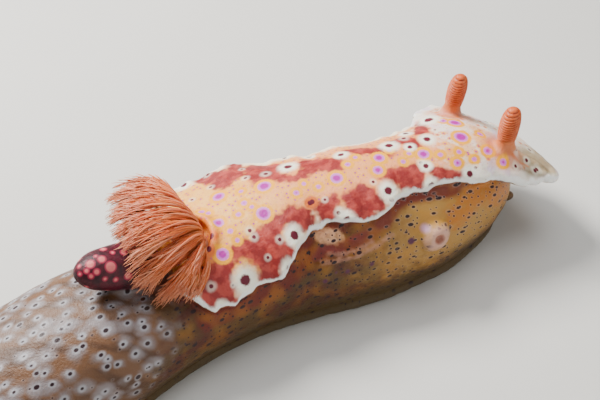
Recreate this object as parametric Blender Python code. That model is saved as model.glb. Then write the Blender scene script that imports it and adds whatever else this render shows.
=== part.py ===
"""Short-tailed ceratosoma: a large, tall-bodied sea slug, life size, crawling on a flat floor.

The slug is laid out straight and in millimetres. "Along" runs from tail to head, "across" from its
right side (-) to its left side (+), and "up" is its height over the floor. Each solid is then bent in
plan, as a crawling slug bends, and scaled to metres. The origin is on the sole, under the gill.
"""
from math import cos, pi, radians, sin
from random import Random

import bmesh
import bpy
import numpy as np
from mathutils import Vector

# Driving dimensions, in millimetres unless they say otherwise.
MM = 0.001
GAP = 0.3
TAIL_TIP = -60.0
MANTLE_FRONT = 58.8
MANTLE_REAR = -17.0
SNOUT_TIP = 54.0
FOOT_FRONT = 52.0
FOOT_THICKNESS = 2.0
RIM_THICKNESS = 1.5
CUTTER = 150.0

# Where each solid of flesh is parted from the next, from tail to head.
BODY_CUTS = {"tail_tip": -40.0, "tail": -17.0, "trunk_rear": 12.0, "trunk_front": 41.0, "head": None}
FOOT_CUTS = {"foot_tail": -17.0, "foot_middle": 25.0, "foot_front": None}
MANTLE_CUTS = {"mantle_rear": 9.0, "mantle_middle": 38.0, "mantle_front": None}

# Profiles, each a few (along, size) pairs that a smooth curve joins.
FOOT_HALF = ((-60, 0.8), (-56, 4.6), (-48, 9.0), (-36, 12.4), (-24, 11.8), (-10, 10.0), (0, 10.4),
             (12, 11.8), (24, 12.4), (34, 11.2), (42, 9.2), (47, 8.0), (52, 7.0))
FLANK_HALF = ((-60, 0.6), (-56, 4.4), (-48, 9.0), (-36, 12.3), (-24, 12.3), (-10, 11.2), (0, 11.4),
              (12, 12.2), (24, 12.8), (34, 12.0), (42, 10.3), (47, 9.2), (55, 8.4))
FLANK_UP = ((-60, 2.6), (-48, 4.0), (-30, 5.4), (0, 7.5), (30, 8.5), (55, 7.6))
BODY_CROWN = ((-60, 3.2), (-56, 6.8), (-48, 11.3), (-36, 15.1), (-24, 16.6), (-14, 15.4), (-6, 15.6),
              (4, 17.6), (14, 18.9), (26, 19.4), (36, 19.2), (43, 18.0), (49, 15.6), (55, 11.0))
MANTLE_CROWN = ((-17, 16.0), (-10, 18.0), (-4, 19.0), (4, 20.4), (14, 21.5), (26, 22.0), (36, 22.0),
                (43, 21.4), (49, 19.2), (54, 16.2), (58.8, 12.6))
RIM_RIGHT = ((-17, 4.8), (-13, 5.4), (-11, 7.4), (-9.6, 9.7), (-8, 10.8), (-5, 10.9), (-2, 10.6),
             (1, 10.7), (4.5, 11.3), (8, 10.1), (11, 8.0), (13.2, 7.2), (16, 7.8), (20, 9.2),
             (22.5, 9.6), (24.5, 9.1), (26.5, 8.0), (30, 7.1), (34, 7.2), (40, 8.5), (43, 9.4),
             (46, 11.0), (52, 12.3), (55.6, 12.9), (56.6, 11.3), (57.4, 8.4), (58.2, 5.0), (58.8, 0.8))
RIM_LEFT = ((-17, 4.8), (-13, 5.6), (-11, 7.8), (-9, 11.4), (-7, 12.8), (-2, 13.6), (5, 13.0),
            (9, 11.6), (12.5, 9.8), (16, 9.0), (20, 8.5), (24, 8.0), (28, 7.5), (32, 7.6), (36, 8.1),
            (40, 9.4), (43, 11.4), (45.7, 12.5), (48.6, 13.0), (50.9, 12.5), (53.3, 11.4), (55.4, 8.8),
            (57.2, 5.4), (58.8, 0.8))
RIM_RIGHT_UP = ((-17, 15.8), (-13, 16.2), (-11, 15.6), (-9.4, 14.3), (-8, 13.5), (-2, 13.4), (4, 14.6),
                (9, 17.0), (14, 18.2), (20, 18.3), (25, 18.7), (30, 19.2), (34, 19.2), (42, 17.8),
                (48, 15.2), (54, 12.8), (58.8, 12.0))
RIM_LEFT_UP = ((-17, 15.8), (-13, 16.2), (-11, 15.8), (-9, 15.0), (-2, 15.6), (5, 16.6), (12, 17.6),
               (24, 18.2), (34, 18.2), (43, 17.0), (46, 16.5), (49, 15.6), (52, 13.4), (54, 12.0),
               (58.8, 11.6))
# The slope of the mantle from its crown down to its rim: two powers, on the right and on the left.
MANTLE_ROUND = {-1: (2.2, 0.8), 1: (1.9, 1.0)}
# How much narrower the body is on its left than on its right, near its crown.
LEFT_SHOULDER = 0.12
# The way the slug heads, in degrees to its left, at places along it.
HEADING = ((-60, 5), (-20, 4), (0, 2), (14, -8), (30, -10), (40, 0), (48, 8), (60, 9))

# Horn, gill pocket, gill and feelers.
HORN_ROOT = (-11.0, 16.4)
HORN_TIP = (-24.0, 22.0)
HORN_RADII = (4.4, 3.0)
POCKET_ALONG = -7.0
POCKET_RADIUS = 4.4
POCKET_FLOOR = 17.0
RHINOPHORE_ALONG = 47.4
RHINOPHORE_ACROSS = 6.2
RHINOPHORE_LENGTH = 8.3
RHINOPHORE_LEAN = (4.0, -3.0)
RHINOPHORE_STALK = ((0.0, 1.9), (0.12, 1.62), (0.24, 1.46))
RHINOPHORE_CLUB = ((0.24, 1.46), (0.45, 1.64), (0.64, 1.68), (0.8, 1.52), (0.92, 1.14), (1.0, 0.5))
RHINOPHORE_TIP = ((0.98, 0.66, 0.1), (1.0, 0.3, 0.0))
RIDGES = 10
RIDGE_ENDS = (0.3, 0.93)
RIDGE_DEPTH = 0.24
RIDGE_SLANT = 0.9
SHEATH_RADIUS = 2.4
SHEATH_DEPTH = 1.3
PAPILLA = (32.2, 12.4)
PAPILLA_WAY = (0.05, -0.93, 0.36)
PAPILLA_SHAPE = ((-3, 1.9), (0.6, 2.3), (1.3, 2.15), (1.9, 1.6), (2.1, 1.1), (1.9, 0.7), (1.2, 0.4))
TENTACLE = (50.2, 4.3, 5.4)
TENTACLE_WAY = (0.88, 0.4, -0.2)
TENTACLE_SHAPE = ((0, 1.4), (3, 1.45), (5.0, 1.3), (6.6, 1.0), (7.5, 0.6), (7.8, 0.2))

# The gill: each plume's turn round the pocket from dead ahead, to the left, in degrees, and its tip.
PLUMES = {
    "gill_left": ((52, (-8.6, 11.0, 21.0)), (88, (-11.6, 9.4, 20.4)), (24, (-12.4, 6.6, 22.2)),
                  (126, (-15.2, 8.2, 18.2))),
    "gill_right": ((-4, (-13.4, 3.0, 23.6)), (-30, (-15.2, -0.6, 25.0)), (-54, (-16.2, -4.4, 21.8)),
                   (-78, (-14.6, -6.8, 18.6)), (-106, (-11.2, -8.6, 17.2))),
}
PLUME_ROOT = 3.0
PLUME_RISE = 4.6
STEM_RADII = (0.85, 0.34)
FILAMENT_PAIRS = 7
FILAMENTS_FROM = 0.3
FILAMENT_LENGTH = 5.4
FILAMENT_SHAPE = ((0.3, 0.55), (0.5, 1.0), (0.75, 1.0), (0.9, 0.75), (1.0, 0.5))
FILAMENT_RADIUS = 0.4
GILL_SPLIT = (-4.4, 0.5)
SEED = 40


def curve_through(pairs, at):
    """The height at each place of a smooth curve through the pairs that never overshoots them."""
    place, size = np.array(pairs, float).T
    step = np.diff(place)
    slope = np.diff(size) / step
    tangent = np.zeros_like(size)
    tangent[0], tangent[-1] = slope[0], slope[-1]
    for i in range(1, len(size) - 1):
        if slope[i - 1] * slope[i] > 0:
            before, after = 2 * step[i] + step[i - 1], step[i] + 2 * step[i - 1]
            tangent[i] = (before + after) / (before / slope[i - 1] + after / slope[i])
    at = np.clip(np.asarray(at, float), place[0], place[-1])
    i = np.clip(np.searchsorted(place, at, side="right") - 1, 0, len(step) - 1)
    t = (at - place[i]) / step[i]
    return (size[i] * (1 + 2 * t) * (1 - t) ** 2 + size[i + 1] * t * t * (3 - 2 * t)
            + step[i] * t * (1 - t) * (tangent[i] * (1 - t) - tangent[i + 1] * t))


def bent(points):
    """Points of the straight slug, carried to where they lie on the bent one."""
    points = np.asarray(points, float)
    along = np.linspace(TAIL_TIP - 10, MANTLE_FRONT + 10, 561)
    step = along[1] - along[0]
    heading = np.radians(curve_through(HEADING, along))
    middle = (heading[1:] + heading[:-1]) / 2
    x = np.concatenate([[0], np.cumsum(np.cos(middle) * step)])
    y = np.concatenate([[0], np.cumsum(np.sin(middle) * step)])
    x -= np.interp(0, along, x)
    y -= np.interp(0, along, y)
    turn = np.interp(points[:, 0], along, heading)
    return np.stack([np.interp(points[:, 0], along, x) - points[:, 1] * np.sin(turn),
                     np.interp(points[:, 0], along, y) + points[:, 1] * np.cos(turn),
                     points[:, 2]], 1)


def clear_scene():
    for old in list(bpy.data.objects):
        bpy.data.objects.remove(old, do_unlink=True)


def material(name, colour, roughness):
    made = bpy.data.materials.new(name)
    made.use_nodes = True
    shader = made.node_tree.nodes["Principled BSDF"]
    shader.inputs["Base Color"].default_value = (*colour, 1)
    shader.inputs["Roughness"].default_value = roughness
    shader.inputs["Metallic"].default_value = 0
    return made


def object_of(name, bm):
    """A new object that holds the bmesh, with its faces turned outwards."""
    bmesh.ops.recalc_face_normals(bm, faces=bm.faces)
    mesh = bpy.data.meshes.new(name)
    bm.to_mesh(mesh)
    bm.free()
    made = bpy.data.objects.new(name, mesh)
    bpy.context.scene.collection.objects.link(made)
    return made


def loft(name, rings):
    """A closed solid through rings of as many points each, capped at both ends."""
    bm = bmesh.new()
    loops = [[bm.verts.new(p) for p in ring] for ring in rings]
    count = len(loops[0])
    for first, second in zip(loops, loops[1:]):
        for i in range(count):
            j = (i + 1) % count
            bm.faces.new((first[i], first[j], second[j], second[i]))
    bm.faces.new(loops[0])
    bm.faces.new(loops[-1])
    return object_of(name, bm)


def applied(target):
    """Puts what the object's modifiers make in place of its mesh."""
    graph = bpy.context.evaluated_depsgraph_get()
    made = bpy.data.meshes.new_from_object(target.evaluated_get(graph))
    target.modifiers.clear()
    target.data = made
    return target


def boolean(target, tools, operation, solver="EXACT"):
    """Joins the tools to the target, or cuts them from it, and removes them."""
    group = bpy.data.collections.new("tools")
    for tool in tools:
        group.objects.link(tool)
    change = target.modifiers.new(operation, "BOOLEAN")
    change.operation = operation
    change.solver = solver
    change.operand_type = "COLLECTION"
    change.collection = group
    applied(target)
    for tool in tools:
        bpy.data.objects.remove(tool, do_unlink=True)
    bpy.data.collections.remove(group)
    return target


def copy_of(source, name):
    made = source.copy()
    made.data = source.data.copy()
    made.name = name
    bpy.context.scene.collection.objects.link(made)
    return made


def cut_plane(target, point, normal):
    """Cuts away all that lies ahead of the plane."""
    point, normal = Vector(point), Vector(normal).normalized()
    first, second = frame_of(normal, (0, 0, 1))
    square = [first * a + second * b for a, b in ((-1, -1), (1, -1), (1, 1), (-1, 1))]
    rings = [[point + corner * CUTTER + normal * depth for corner in square] for depth in (0, CUTTER)]
    boolean(target, [loft("block", rings)], "DIFFERENCE", "MANIFOLD")


def keep_largest(target):
    """Drops every closed surface of the object but the one with the largest box."""
    bm = bmesh.new()
    bm.from_mesh(target.data)
    left, groups = set(bm.verts), []
    while left:
        group, ends = set(), [left.pop()]
        while ends:
            vert = ends.pop()
            group.add(vert)
            for edge in vert.link_edges:
                other = edge.other_vert(vert)
                if other in left:
                    left.discard(other)
                    ends.append(other)
        groups.append(group)

    def diagonal(group):
        places = np.array([v.co for v in group])
        return np.linalg.norm(places.max(0) - places.min(0))

    largest = max(groups, key=diagonal)
    spare = [v for group in groups if group is not largest for v in group]
    bmesh.ops.delete(bm, geom=spare, context="VERTS")
    bm.to_mesh(target.data)
    bm.free()
    return target


def parted(source, cuts):
    """The source's lengths between the cuts, half a gap short of each, as new objects."""
    lengths, behind = [], None
    for name, ahead in cuts.items():
        piece = copy_of(source, name)
        if behind is not None:
            cut_plane(piece, (behind + GAP / 2, 0, 0), (-1, 0, 0))
        if ahead is not None:
            cut_plane(piece, (ahead - GAP / 2, 0, 0), (1, 0, 0))
        lengths.append(keep_largest(piece))
        behind = ahead
    bpy.data.objects.remove(source, do_unlink=True)
    return lengths


def round_end(fraction, power):
    """1 at the start of an end and 0 at its tip, round in between."""
    return (1 - np.clip(fraction, 0, 1) ** power) ** (1 / power)


def foot_half(along):
    """How far the sole's edge is from the middle."""
    front = round_end((np.asarray(along) - 43) / (FOOT_FRONT + 0.1 - 43), 2.6)
    return curve_through(FOOT_HALF, along) * front


def body_section(along, grow=0.0):
    """The body's outline across at one place, from the middle of its underside round by the right."""
    snout = float(round_end((along - 43) / (SNOUT_TIP + 0.1 - 43), 2.4))
    flank = float(curve_through(FLANK_HALF, along)) * snout + grow
    flesh = flank - grow
    base = max(min(float(foot_half(along)) - 0.7, flesh - 0.2), flesh * 0.75) + grow
    bottom = FOOT_THICKNESS + GAP - grow
    widest = max(float(curve_through(FLANK_UP, along)), bottom + 0.2)
    crown = widest + (float(curve_through(BODY_CROWN, along)) - widest) * snout ** 0.5 + grow
    halves = []
    for shoulder in (0.0, LEFT_SHOULDER):
        side = [(base * share, bottom) for share in (0.0, 0.5, 0.85)]
        for t in (0.0, 0.35, 0.7):
            side.append((base + (flank - base) * sin(t * pi / 2), bottom + (widest - bottom) * t))
        for turn in np.linspace(0, pi / 2, 9):
            across = flank * cos(turn) ** 0.8 * (1 - shoulder * sin(turn))
            side.append((max(across, 0.0), widest + (crown - widest) * sin(turn) ** 0.9))
        halves.append(side)
    right = [(along, -across, up) for across, up in halves[0]]
    left = [(along, across, up) for across, up in halves[1][-2:0:-1]]
    return right + left


def body_whole(grow=0.0):
    """The flesh between the foot and the mantle, from tail tip to snout, in one length."""
    tail = TAIL_TIP + 3 * np.linspace(0, 1, 4) ** 2
    middle = np.linspace(TAIL_TIP + 5, SNOUT_TIP - 9, 36)
    snout = SNOUT_TIP - 7 * np.linspace(1, 0, 9) ** 2
    return loft("body", [body_section(float(a), grow) for a in np.concatenate([tail, middle, snout])])


def rim_half(along, side):
    """How far the mantle's rim is from the middle, on the left (side 1) or the right (side -1)."""
    half = curve_through(RIM_LEFT if side > 0 else RIM_RIGHT, along)
    rear = round_end((-7 - np.asarray(along)) / (-7 - MANTLE_REAR), 3.0)
    wave = 1 + 0.018 * np.sin(2 * pi * (np.asarray(along) + 2 * side) / 7.3)
    return half * rear * wave


def rim_up(along, side):
    wave = 0.25 * np.sin(2 * pi * (np.asarray(along) - 3 * side) / 9.1)
    return curve_through(RIM_LEFT_UP if side > 0 else RIM_RIGHT_UP, along) + wave


def mantle_up(along, across):
    """The height of the mantle's upper face over a point."""
    across = np.asarray(across, float)
    side = np.where(across > 0, 1, -1)
    half = np.where(side > 0, rim_half(along, 1), rim_half(along, -1))
    edge = np.where(side > 0, rim_up(along, 1), rim_up(along, -1))
    share = np.clip(np.abs(across) / np.maximum(half, 1e-6), 0, 1)
    first, second = (np.where(side > 0, MANTLE_ROUND[1][i], MANTLE_ROUND[-1][i]) for i in (0, 1))
    return edge + (curve_through(MANTLE_CROWN, along) - edge) * (1 - share ** first) ** second


def mantle_section(along):
    """The mantle's outline across at one place: over the top from right to left, and back below."""
    section = []
    out = (0.2, 0.4, 0.6, 0.76, 0.88, 0.96, 1.0)
    for side, shares in ((-1, (*out[::-1], 0.0)), (1, out)):
        half = max(float(rim_half(along, side)), 0.6)
        for share in shares:
            across = side * half * share
            drop = 0.45 if share == 1.0 else 0.0
            section.append((along, across, float(mantle_up(along, across * 0.999)) - drop))
    for side in (1, -1):
        half = max(float(rim_half(along, side)), 0.6)
        edge = float(rim_up(along, side))
        below = [(along, side * half * 0.93, edge - RIM_THICKNESS),
                 (along, side * half * 0.55, edge - RIM_THICKNESS - 0.3)]
        section += below if side > 0 else below[::-1]
    return section


def mantle_whole():
    """The mantle with its horn, gill pocket and feeler sheaths, fitted over the body."""
    rear = MANTLE_REAR + 6 * np.linspace(0.12, 1, 6) ** 2
    middle = np.linspace(MANTLE_REAR + 8, MANTLE_FRONT - 8.2, 36)
    front = MANTLE_FRONT - 7 * np.linspace(1, 0.06, 9) ** 2
    mantle = loft("mantle", [mantle_section(float(a)) for a in np.concatenate([rear, middle, front])])
    boolean(mantle, [horn_solid()], "UNION")
    boolean(mantle, [body_whole(grow=GAP)], "DIFFERENCE")
    keep_largest(mantle)
    pits = [cylinder("pit", (POCKET_ALONG, 0, POCKET_FLOOR), (0, 0, 1), POCKET_RADIUS, 8, 28)]
    for side in (1, -1):
        foot, axis = rhinophore_place(side)
        pits.append(cylinder("pit", foot - axis * SHEATH_DEPTH, axis, SHEATH_RADIUS, 6, 20))
    boolean(mantle, pits, "DIFFERENCE")
    return keep_largest(mantle)


def horn_solid():
    """The blunt horn that the mantle carries behind the gill."""
    root = Vector((HORN_ROOT[0], 0, HORN_ROOT[1]))
    tip = Vector((HORN_TIP[0], 0, HORN_TIP[1]))
    axis = (tip - root).normalized()
    length = (tip - root).length
    rings = []
    for t in np.concatenate([np.linspace(0, 0.72, 7), 1 - 0.28 * np.linspace(0.85, 0, 7) ** 1.8]):
        radius = HORN_RADII[0] + (HORN_RADII[1] - HORN_RADII[0]) * min(t / 0.5, 1)
        radius *= float(round_end((t - 0.72) / 0.28, 2)) if t > 0.72 else 1
        centre = root + axis * (length * t)
        rings.append(ring_round(centre, axis, max(radius, 0.25), 16))
    return loft("horn_solid", rings)


def frame_of(axis, hint=(0, 1, 0)):
    """Two directions square to the axis and to each other."""
    axis = Vector(axis).normalized()
    first = (Vector(hint) - axis * Vector(hint).dot(axis)).normalized()
    return first, axis.cross(first)


def ring_round(centre, axis, radius, sides, flat=1.0, hint=(0, 1, 0)):
    first, second = frame_of(axis, hint)
    turns = [2 * pi * i / sides for i in range(sides)]
    return [centre + first * (radius * cos(t)) + second * (radius * flat * sin(t)) for t in turns]


def cylinder(name, foot, axis, radius, length, sides):
    foot, axis = Vector(foot), Vector(axis).normalized()
    return loft(name, [ring_round(end, axis, radius, sides) for end in (foot, foot + axis * length)])


def rhinophore_place(side):
    """Where a rhinophore leaves the mantle, and which way it points."""
    across = side * RHINOPHORE_ACROSS
    foot = Vector((RHINOPHORE_ALONG, across, float(mantle_up(RHINOPHORE_ALONG, across))))
    ahead, aside = (radians(angle) for angle in RHINOPHORE_LEAN)
    axis = Vector((sin(ahead), side * sin(aside), cos(ahead))).normalized()
    return foot, axis


def rhinophore(side, name):
    """A stalk and its ridged club, standing in the sheath. The ridges slant down towards the back."""
    foot, axis = rhinophore_place(side)
    ahead, _ = frame_of(axis, (1, 0, 0))
    stations = [((GAP - SHEATH_DEPTH) / RHINOPHORE_LENGTH, SHEATH_RADIUS - GAP, 0.0)]
    stations += [(share, radius, 0.0) for share, radius in RHINOPHORE_STALK]
    first, last = RIDGE_ENDS
    for i in range(2 * RIDGES):
        share = first + (last - first) * i / (2 * RIDGES - 1)
        radius = float(curve_through(RHINOPHORE_CLUB, share))
        groove = RIDGE_DEPTH * min(1.0, radius / 1.5) if i % 2 == 0 else 0.0
        slant = RIDGE_SLANT * min(1.0, (share - 0.24) * 8, (1.0 - share) * 8)
        stations.append((share, radius - groove, slant))
    stations += RHINOPHORE_TIP
    rings = []
    for share, radius, slant in stations:
        centre = foot + axis * (RHINOPHORE_LENGTH * share)
        ring = ring_round(centre, axis, radius, 12, hint=(1, 0, 0))
        rings.append([p + axis * (slant * 0.5 * (p - centre).dot(ahead) / radius) for p in ring])
    return loft(name, rings)


def foot_whole():
    """The sole: a flat slab with a rounded edge, as long as the slug."""
    rings = []
    tail = TAIL_TIP + 3 * np.linspace(0, 1, 4) ** 2
    front = FOOT_FRONT - 7 * np.linspace(1, 0, 8) ** 2
    for along in np.concatenate([tail, np.linspace(TAIL_TIP + 5, FOOT_FRONT - 9, 28), front]):
        half = max(float(foot_half(along)), 0.8)
        side = [(half * 0.5, 0), (half - min(0.7, half / 2), 0), (half, 0.8), (half - 0.2, 1.5),
                (half - 0.6, FOOT_THICKNESS)]
        right = [(along, -across, up) for across, up in side]
        left = [(along, across, up) for across, up in side[::-1]]
        rings.append(right + [(along, 0, FOOT_THICKNESS)] + left + [(along, 0, 0)])
    return loft("foot", rings)


def horn_distance(point):
    """How far a point is outside the horn, and the way out."""
    root = Vector((HORN_ROOT[0], 0, HORN_ROOT[1]))
    tip = Vector((HORN_TIP[0], 0, HORN_TIP[1]))
    axis = tip - root
    inner = max(0.0, min(1 - HORN_RADII[1] / axis.length, (point - root).dot(axis) / axis.length_squared))
    away = point - (root + axis * inner)
    radius = HORN_RADII[0] + (HORN_RADII[1] - HORN_RADII[0]) * min(inner / 0.5, 1)
    return away.length - radius, away.normalized()


def kept_clear(point, radius):
    """The point, moved off the horn and the mantle as far as a filament of this radius needs."""
    room = radius + GAP + 0.2
    point = Vector(point)
    if (point.xy - Vector((POCKET_ALONG, 0))).length > POCKET_RADIUS - room:
        side = 1 if point.y > 0 else -1
        if abs(point.y) < float(rim_half(point.x, side)) + room:
            floor = float(mantle_up(point.x, point.y * 0.98)) + room
            point.z = max(point.z, floor)
        outside, away = horn_distance(point)
        if outside < room:
            point += (away + Vector((0, 0, 0.4))).normalized() * (room - outside) * 1.1
    return point


def plume_path(turn, tip, count):
    """Places along a plume's stem, which rises from the pocket, arches over and sweeps back to its tip."""
    turn = radians(turn)
    out = Vector((cos(turn), sin(turn), 0))
    root = Vector((POCKET_ALONG, 0, POCKET_FLOOR + GAP + 1.2)) + out * PLUME_ROOT
    tip = Vector(tip)
    rise = root + out * 1.6 + Vector((0, 0, PLUME_RISE))
    sweep = tip + Vector((4.6, -0.25 * tip.y, 2.4))
    places = []
    for t in np.linspace(0, 1, count):
        t = float(t)
        place = root * (1 - t) ** 3 + rise * 3 * t * (1 - t) ** 2 + sweep * 3 * t * t * (1 - t) + tip * t ** 3
        places.append(place)
    return places


def tube(name, places, radii, sides, flat=1.0):
    """A closed tapering tube along the places."""
    rings = []
    for i, place in enumerate(places):
        axis = (places[min(i + 1, len(places) - 1)] - places[max(i - 1, 0)]).normalized()
        hint = axis.cross(Vector((0, 0, 1)))
        hint = hint if hint.length > 0.05 else Vector((0, 1, 0))
        rings.append(ring_round(place, axis, radii[i], sides, flat, hint))
    return loft(name, rings)


def filament(root, way, sweep, length, thickness):
    """One filament of a plume: it leaves along one way and curves round to another."""
    places = []
    for t in (0.0, 0.5, 1.0):
        place = root + way * (length * t * (1 - 0.35 * t)) + sweep * (length * 0.55 * t * t)
        places.append(kept_clear(place, thickness) if t > 0 else place)
    radii = [thickness * share for share in (1.0, 0.9, 0.5)]
    return tube("filament", places, radii, 4)


def plume(turn, tip, chance):
    """One plume's stem, with filaments in pairs along it."""
    places = [kept_clear(p, 0.7) if i > 2 else p for i, p in enumerate(plume_path(turn, tip, 9))]
    pieces = [tube("stem", places, list(np.linspace(STEM_RADII[0], STEM_RADII[1], len(places))), 6)]
    for i in range(FILAMENT_PAIRS):
        t = FILAMENTS_FROM + (1.0 - FILAMENTS_FROM) * (i + 0.5) / FILAMENT_PAIRS
        at = t * (len(places) - 1)
        k = min(int(at), len(places) - 2)
        root = places[k].lerp(places[k + 1], at - k)
        ahead = (places[k + 1] - places[k]).normalized()
        aside = ahead.cross(Vector((0, 0, 1))).normalized()
        over = aside.cross(ahead)
        length = FILAMENT_LENGTH * float(curve_through(FILAMENT_SHAPE, t)) * chance.uniform(0.85, 1.1)
        for hand in (1, -1):
            spread = radians(chance.uniform(38, 62))
            way = ahead * cos(spread) + aside * (hand * sin(spread)) + over * chance.uniform(-0.05, 0.4)
            sweep = ahead + Vector((-0.5, 0, chance.uniform(-0.75, -0.2)))
            start = root - way * 0.15
            pieces.append(filament(start, way.normalized(), sweep.normalized(), length, FILAMENT_RADIUS))
    return pieces


def gill_half(name):
    """One side of the ring of plumes, on its half of the base."""
    chance = Random(SEED + len(name))
    base = cylinder(name, (POCKET_ALONG, 0, POCKET_FLOOR + GAP), (0, 0, 1), POCKET_RADIUS - GAP, 2.0, 20)
    pieces = []
    for turn, tip in PLUMES[name]:
        pieces += plume(turn, tip, chance)
    boolean(base, pieces, "UNION", "MANIFOLD")
    side = 1 if name == "gill_left" else -1
    normal = Vector((GILL_SPLIT[1], 1, 0)).normalized()
    cut_plane(base, Vector((GILL_SPLIT[0], 0, 0)) + normal * side * GAP / 2, normal * -side)
    return keep_largest(base)


def genital_papilla():
    """The low swelling round the genital opening, on the right flank."""
    along, up = PAPILLA
    across = -float(curve_through(FLANK_HALF, along))
    axis = Vector(PAPILLA_WAY).normalized()
    centre = Vector((along, across + 0.6, up))
    dome = loft("genital_papilla", [ring_round(centre + axis * h, axis, r, 18) for h, r in PAPILLA_SHAPE])
    boolean(dome, [body_whole(grow=GAP)], "DIFFERENCE")
    return keep_largest(dome)


def oral_tentacle(side, name):
    """One of the two short blunt feelers beside the mouth."""
    along, across, up = TENTACLE
    root = Vector((along - 3, side * (across - 1.4), up))
    ahead, aside, rise = TENTACLE_WAY
    axis = Vector((ahead, side * aside, rise)).normalized()
    feeler = loft(name, [ring_round(root + axis * h, axis, r, 14) for h, r in TENTACLE_SHAPE])
    boolean(feeler, [body_whole(grow=GAP)], "DIFFERENCE")
    return keep_largest(feeler)


def finish(node, look):
    """Bends a straight solid, scales it to metres and gives it its material."""
    mesh = node.data
    places = np.zeros(len(mesh.vertices) * 3)
    mesh.vertices.foreach_get("co", places)
    mesh.vertices.foreach_set("co", (bent(places.reshape(-1, 3)) * MM).ravel())
    mesh.update()
    mesh.materials.clear()
    mesh.materials.append(look)
    mesh.shade_smooth()
    mesh.set_sharp_from_angle(angle=radians(50))


def main():
    clear_scene()
    flesh = material("flank_skin", (0.62, 0.33, 0.15), 0.45)
    tail_skin = material("tail_skin", (0.70, 0.58, 0.48), 0.45)
    sole = material("foot_skin", (0.60, 0.47, 0.30), 0.5)
    mantle_skin = material("mantle_skin", (0.86, 0.55, 0.38), 0.42)
    horn_skin = material("horn_skin", (0.28, 0.03, 0.06), 0.4)
    orange = material("rhinophore_skin", (0.72, 0.19, 0.06), 0.45)
    gill_skin = material("gill_skin", (0.78, 0.26, 0.09), 0.4)

    for node in parted(body_whole(), BODY_CUTS):
        finish(node, tail_skin if node.name.startswith("tail") else flesh)
    for node in parted(foot_whole(), FOOT_CUTS):
        finish(node, sole)
    mantle = mantle_whole()
    horn_axis = Vector((HORN_TIP[0] - HORN_ROOT[0], 0, HORN_TIP[1] - HORN_ROOT[1])).normalized()
    horn = copy_of(mantle, "horn")
    cut = Vector((MANTLE_REAR + 1.0, 0, 18.4))
    cut_plane(horn, cut + horn_axis * GAP / 2, -horn_axis)
    cut_plane(mantle, cut - horn_axis * GAP / 2, horn_axis)
    finish(keep_largest(horn), horn_skin)
    for node in parted(keep_largest(mantle), MANTLE_CUTS):
        finish(node, mantle_skin)
    for side, name in ((1, "rhinophore_left"), (-1, "rhinophore_right")):
        finish(rhinophore(side, name), orange)
        finish(oral_tentacle(side, name.replace("rhinophore", "oral_tentacle")), tail_skin)
    finish(genital_papilla(), tail_skin)
    for name in PLUMES:
        finish(gill_half(name), gill_skin)


main()
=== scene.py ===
"""The dressed short-tailed ceratosoma: one seamless skin, fine gill plumes and two ridged feelers.

The shapes are laid out straight and in millimetres, along from tail to head, across from the right
side (-) to the left (+), and up from the floor. They are then bent in plan and scaled to metres, as
the solids of the frame are. Every mark of the skin is painted from its place on the slug.
"""
from functools import partial
from math import cos, inf, pi, radians, sin
from random import Random

import bpy
import numpy as np
from mathutils import Matrix, Vector
from mathutils.kdtree import KDTree

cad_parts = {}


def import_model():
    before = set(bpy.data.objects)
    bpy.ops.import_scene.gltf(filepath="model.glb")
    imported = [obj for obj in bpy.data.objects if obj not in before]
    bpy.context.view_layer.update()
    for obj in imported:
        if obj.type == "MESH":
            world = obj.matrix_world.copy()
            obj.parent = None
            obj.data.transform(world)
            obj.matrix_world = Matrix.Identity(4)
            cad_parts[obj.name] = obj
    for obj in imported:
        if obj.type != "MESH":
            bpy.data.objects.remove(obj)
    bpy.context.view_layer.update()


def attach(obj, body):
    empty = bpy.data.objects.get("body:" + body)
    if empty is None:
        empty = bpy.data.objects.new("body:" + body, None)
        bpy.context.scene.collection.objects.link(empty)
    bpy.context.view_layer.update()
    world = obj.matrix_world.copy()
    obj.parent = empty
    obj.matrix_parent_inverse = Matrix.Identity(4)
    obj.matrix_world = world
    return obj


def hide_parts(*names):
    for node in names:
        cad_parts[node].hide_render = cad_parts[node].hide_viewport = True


# Lengths, in millimetres unless they say otherwise.
MM = 0.001
TAIL_TIP = -60.0
MANTLE_FRONT = 58.8
MANTLE_REAR = -17.0
SNOUT_TIP = 54.0
FOOT_FRONT = 52.0
FRONT_ROUNDS = 43
REAR_ROUNDS = -7
# How full the round ends are: 2 is an ellipse, and more is squarer.
FOOT_POWER = 2.6
SNOUT_POWER = 2.4
MANTLE_POWER = 3.0
FOOT_THICKNESS = 2.0
FOOT_EDGE = 0.7
FOOT_OVERLAP = 0.6
RIM_THICKNESS = 1.5
RIM_ROUND = 0.35
RIM_LOW = 0.8
VOXEL = 0.37
BEND_MARGIN = 10
BEND_STEPS = 561

# Waves of the foot's edge: their height, their length over 2 pi, and where they start and are full.
# From FOOT_KEPT_FROM on, the edge passes its plan by no more than FOOT_SLACK.
FOOT_WAVE = 0.09
FOOT_WAVE_LENGTH = 2.6
FOOT_WAVE_FROM = (-56, -50)
FOOT_KEPT_FROM = -57
FOOT_SLACK = 0.1
# Waves of the rim: height, length, and how far the left side's is ahead and the right side's behind.
# The first two are shares of the rim's half width, and the last is in height.
RIM_WAVE = ((0.018, 7.3, 2),)
RIM_RIPPLE = ((0.016, 3.1, 3.1 / (2 * pi)), (0.009, 1.7, 0))
RIM_SWELL = ((0.25, 9.1, -3), (0.14, 3.7, 0))
RIM_TRIM = 0.006
# The rim's lower face: shares of its half width, and how far it lies there below the rim's thickness.
RIM_BELOW = ((0.965, -0.15), (0.9, 0), (0.55, 0.3))
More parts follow.
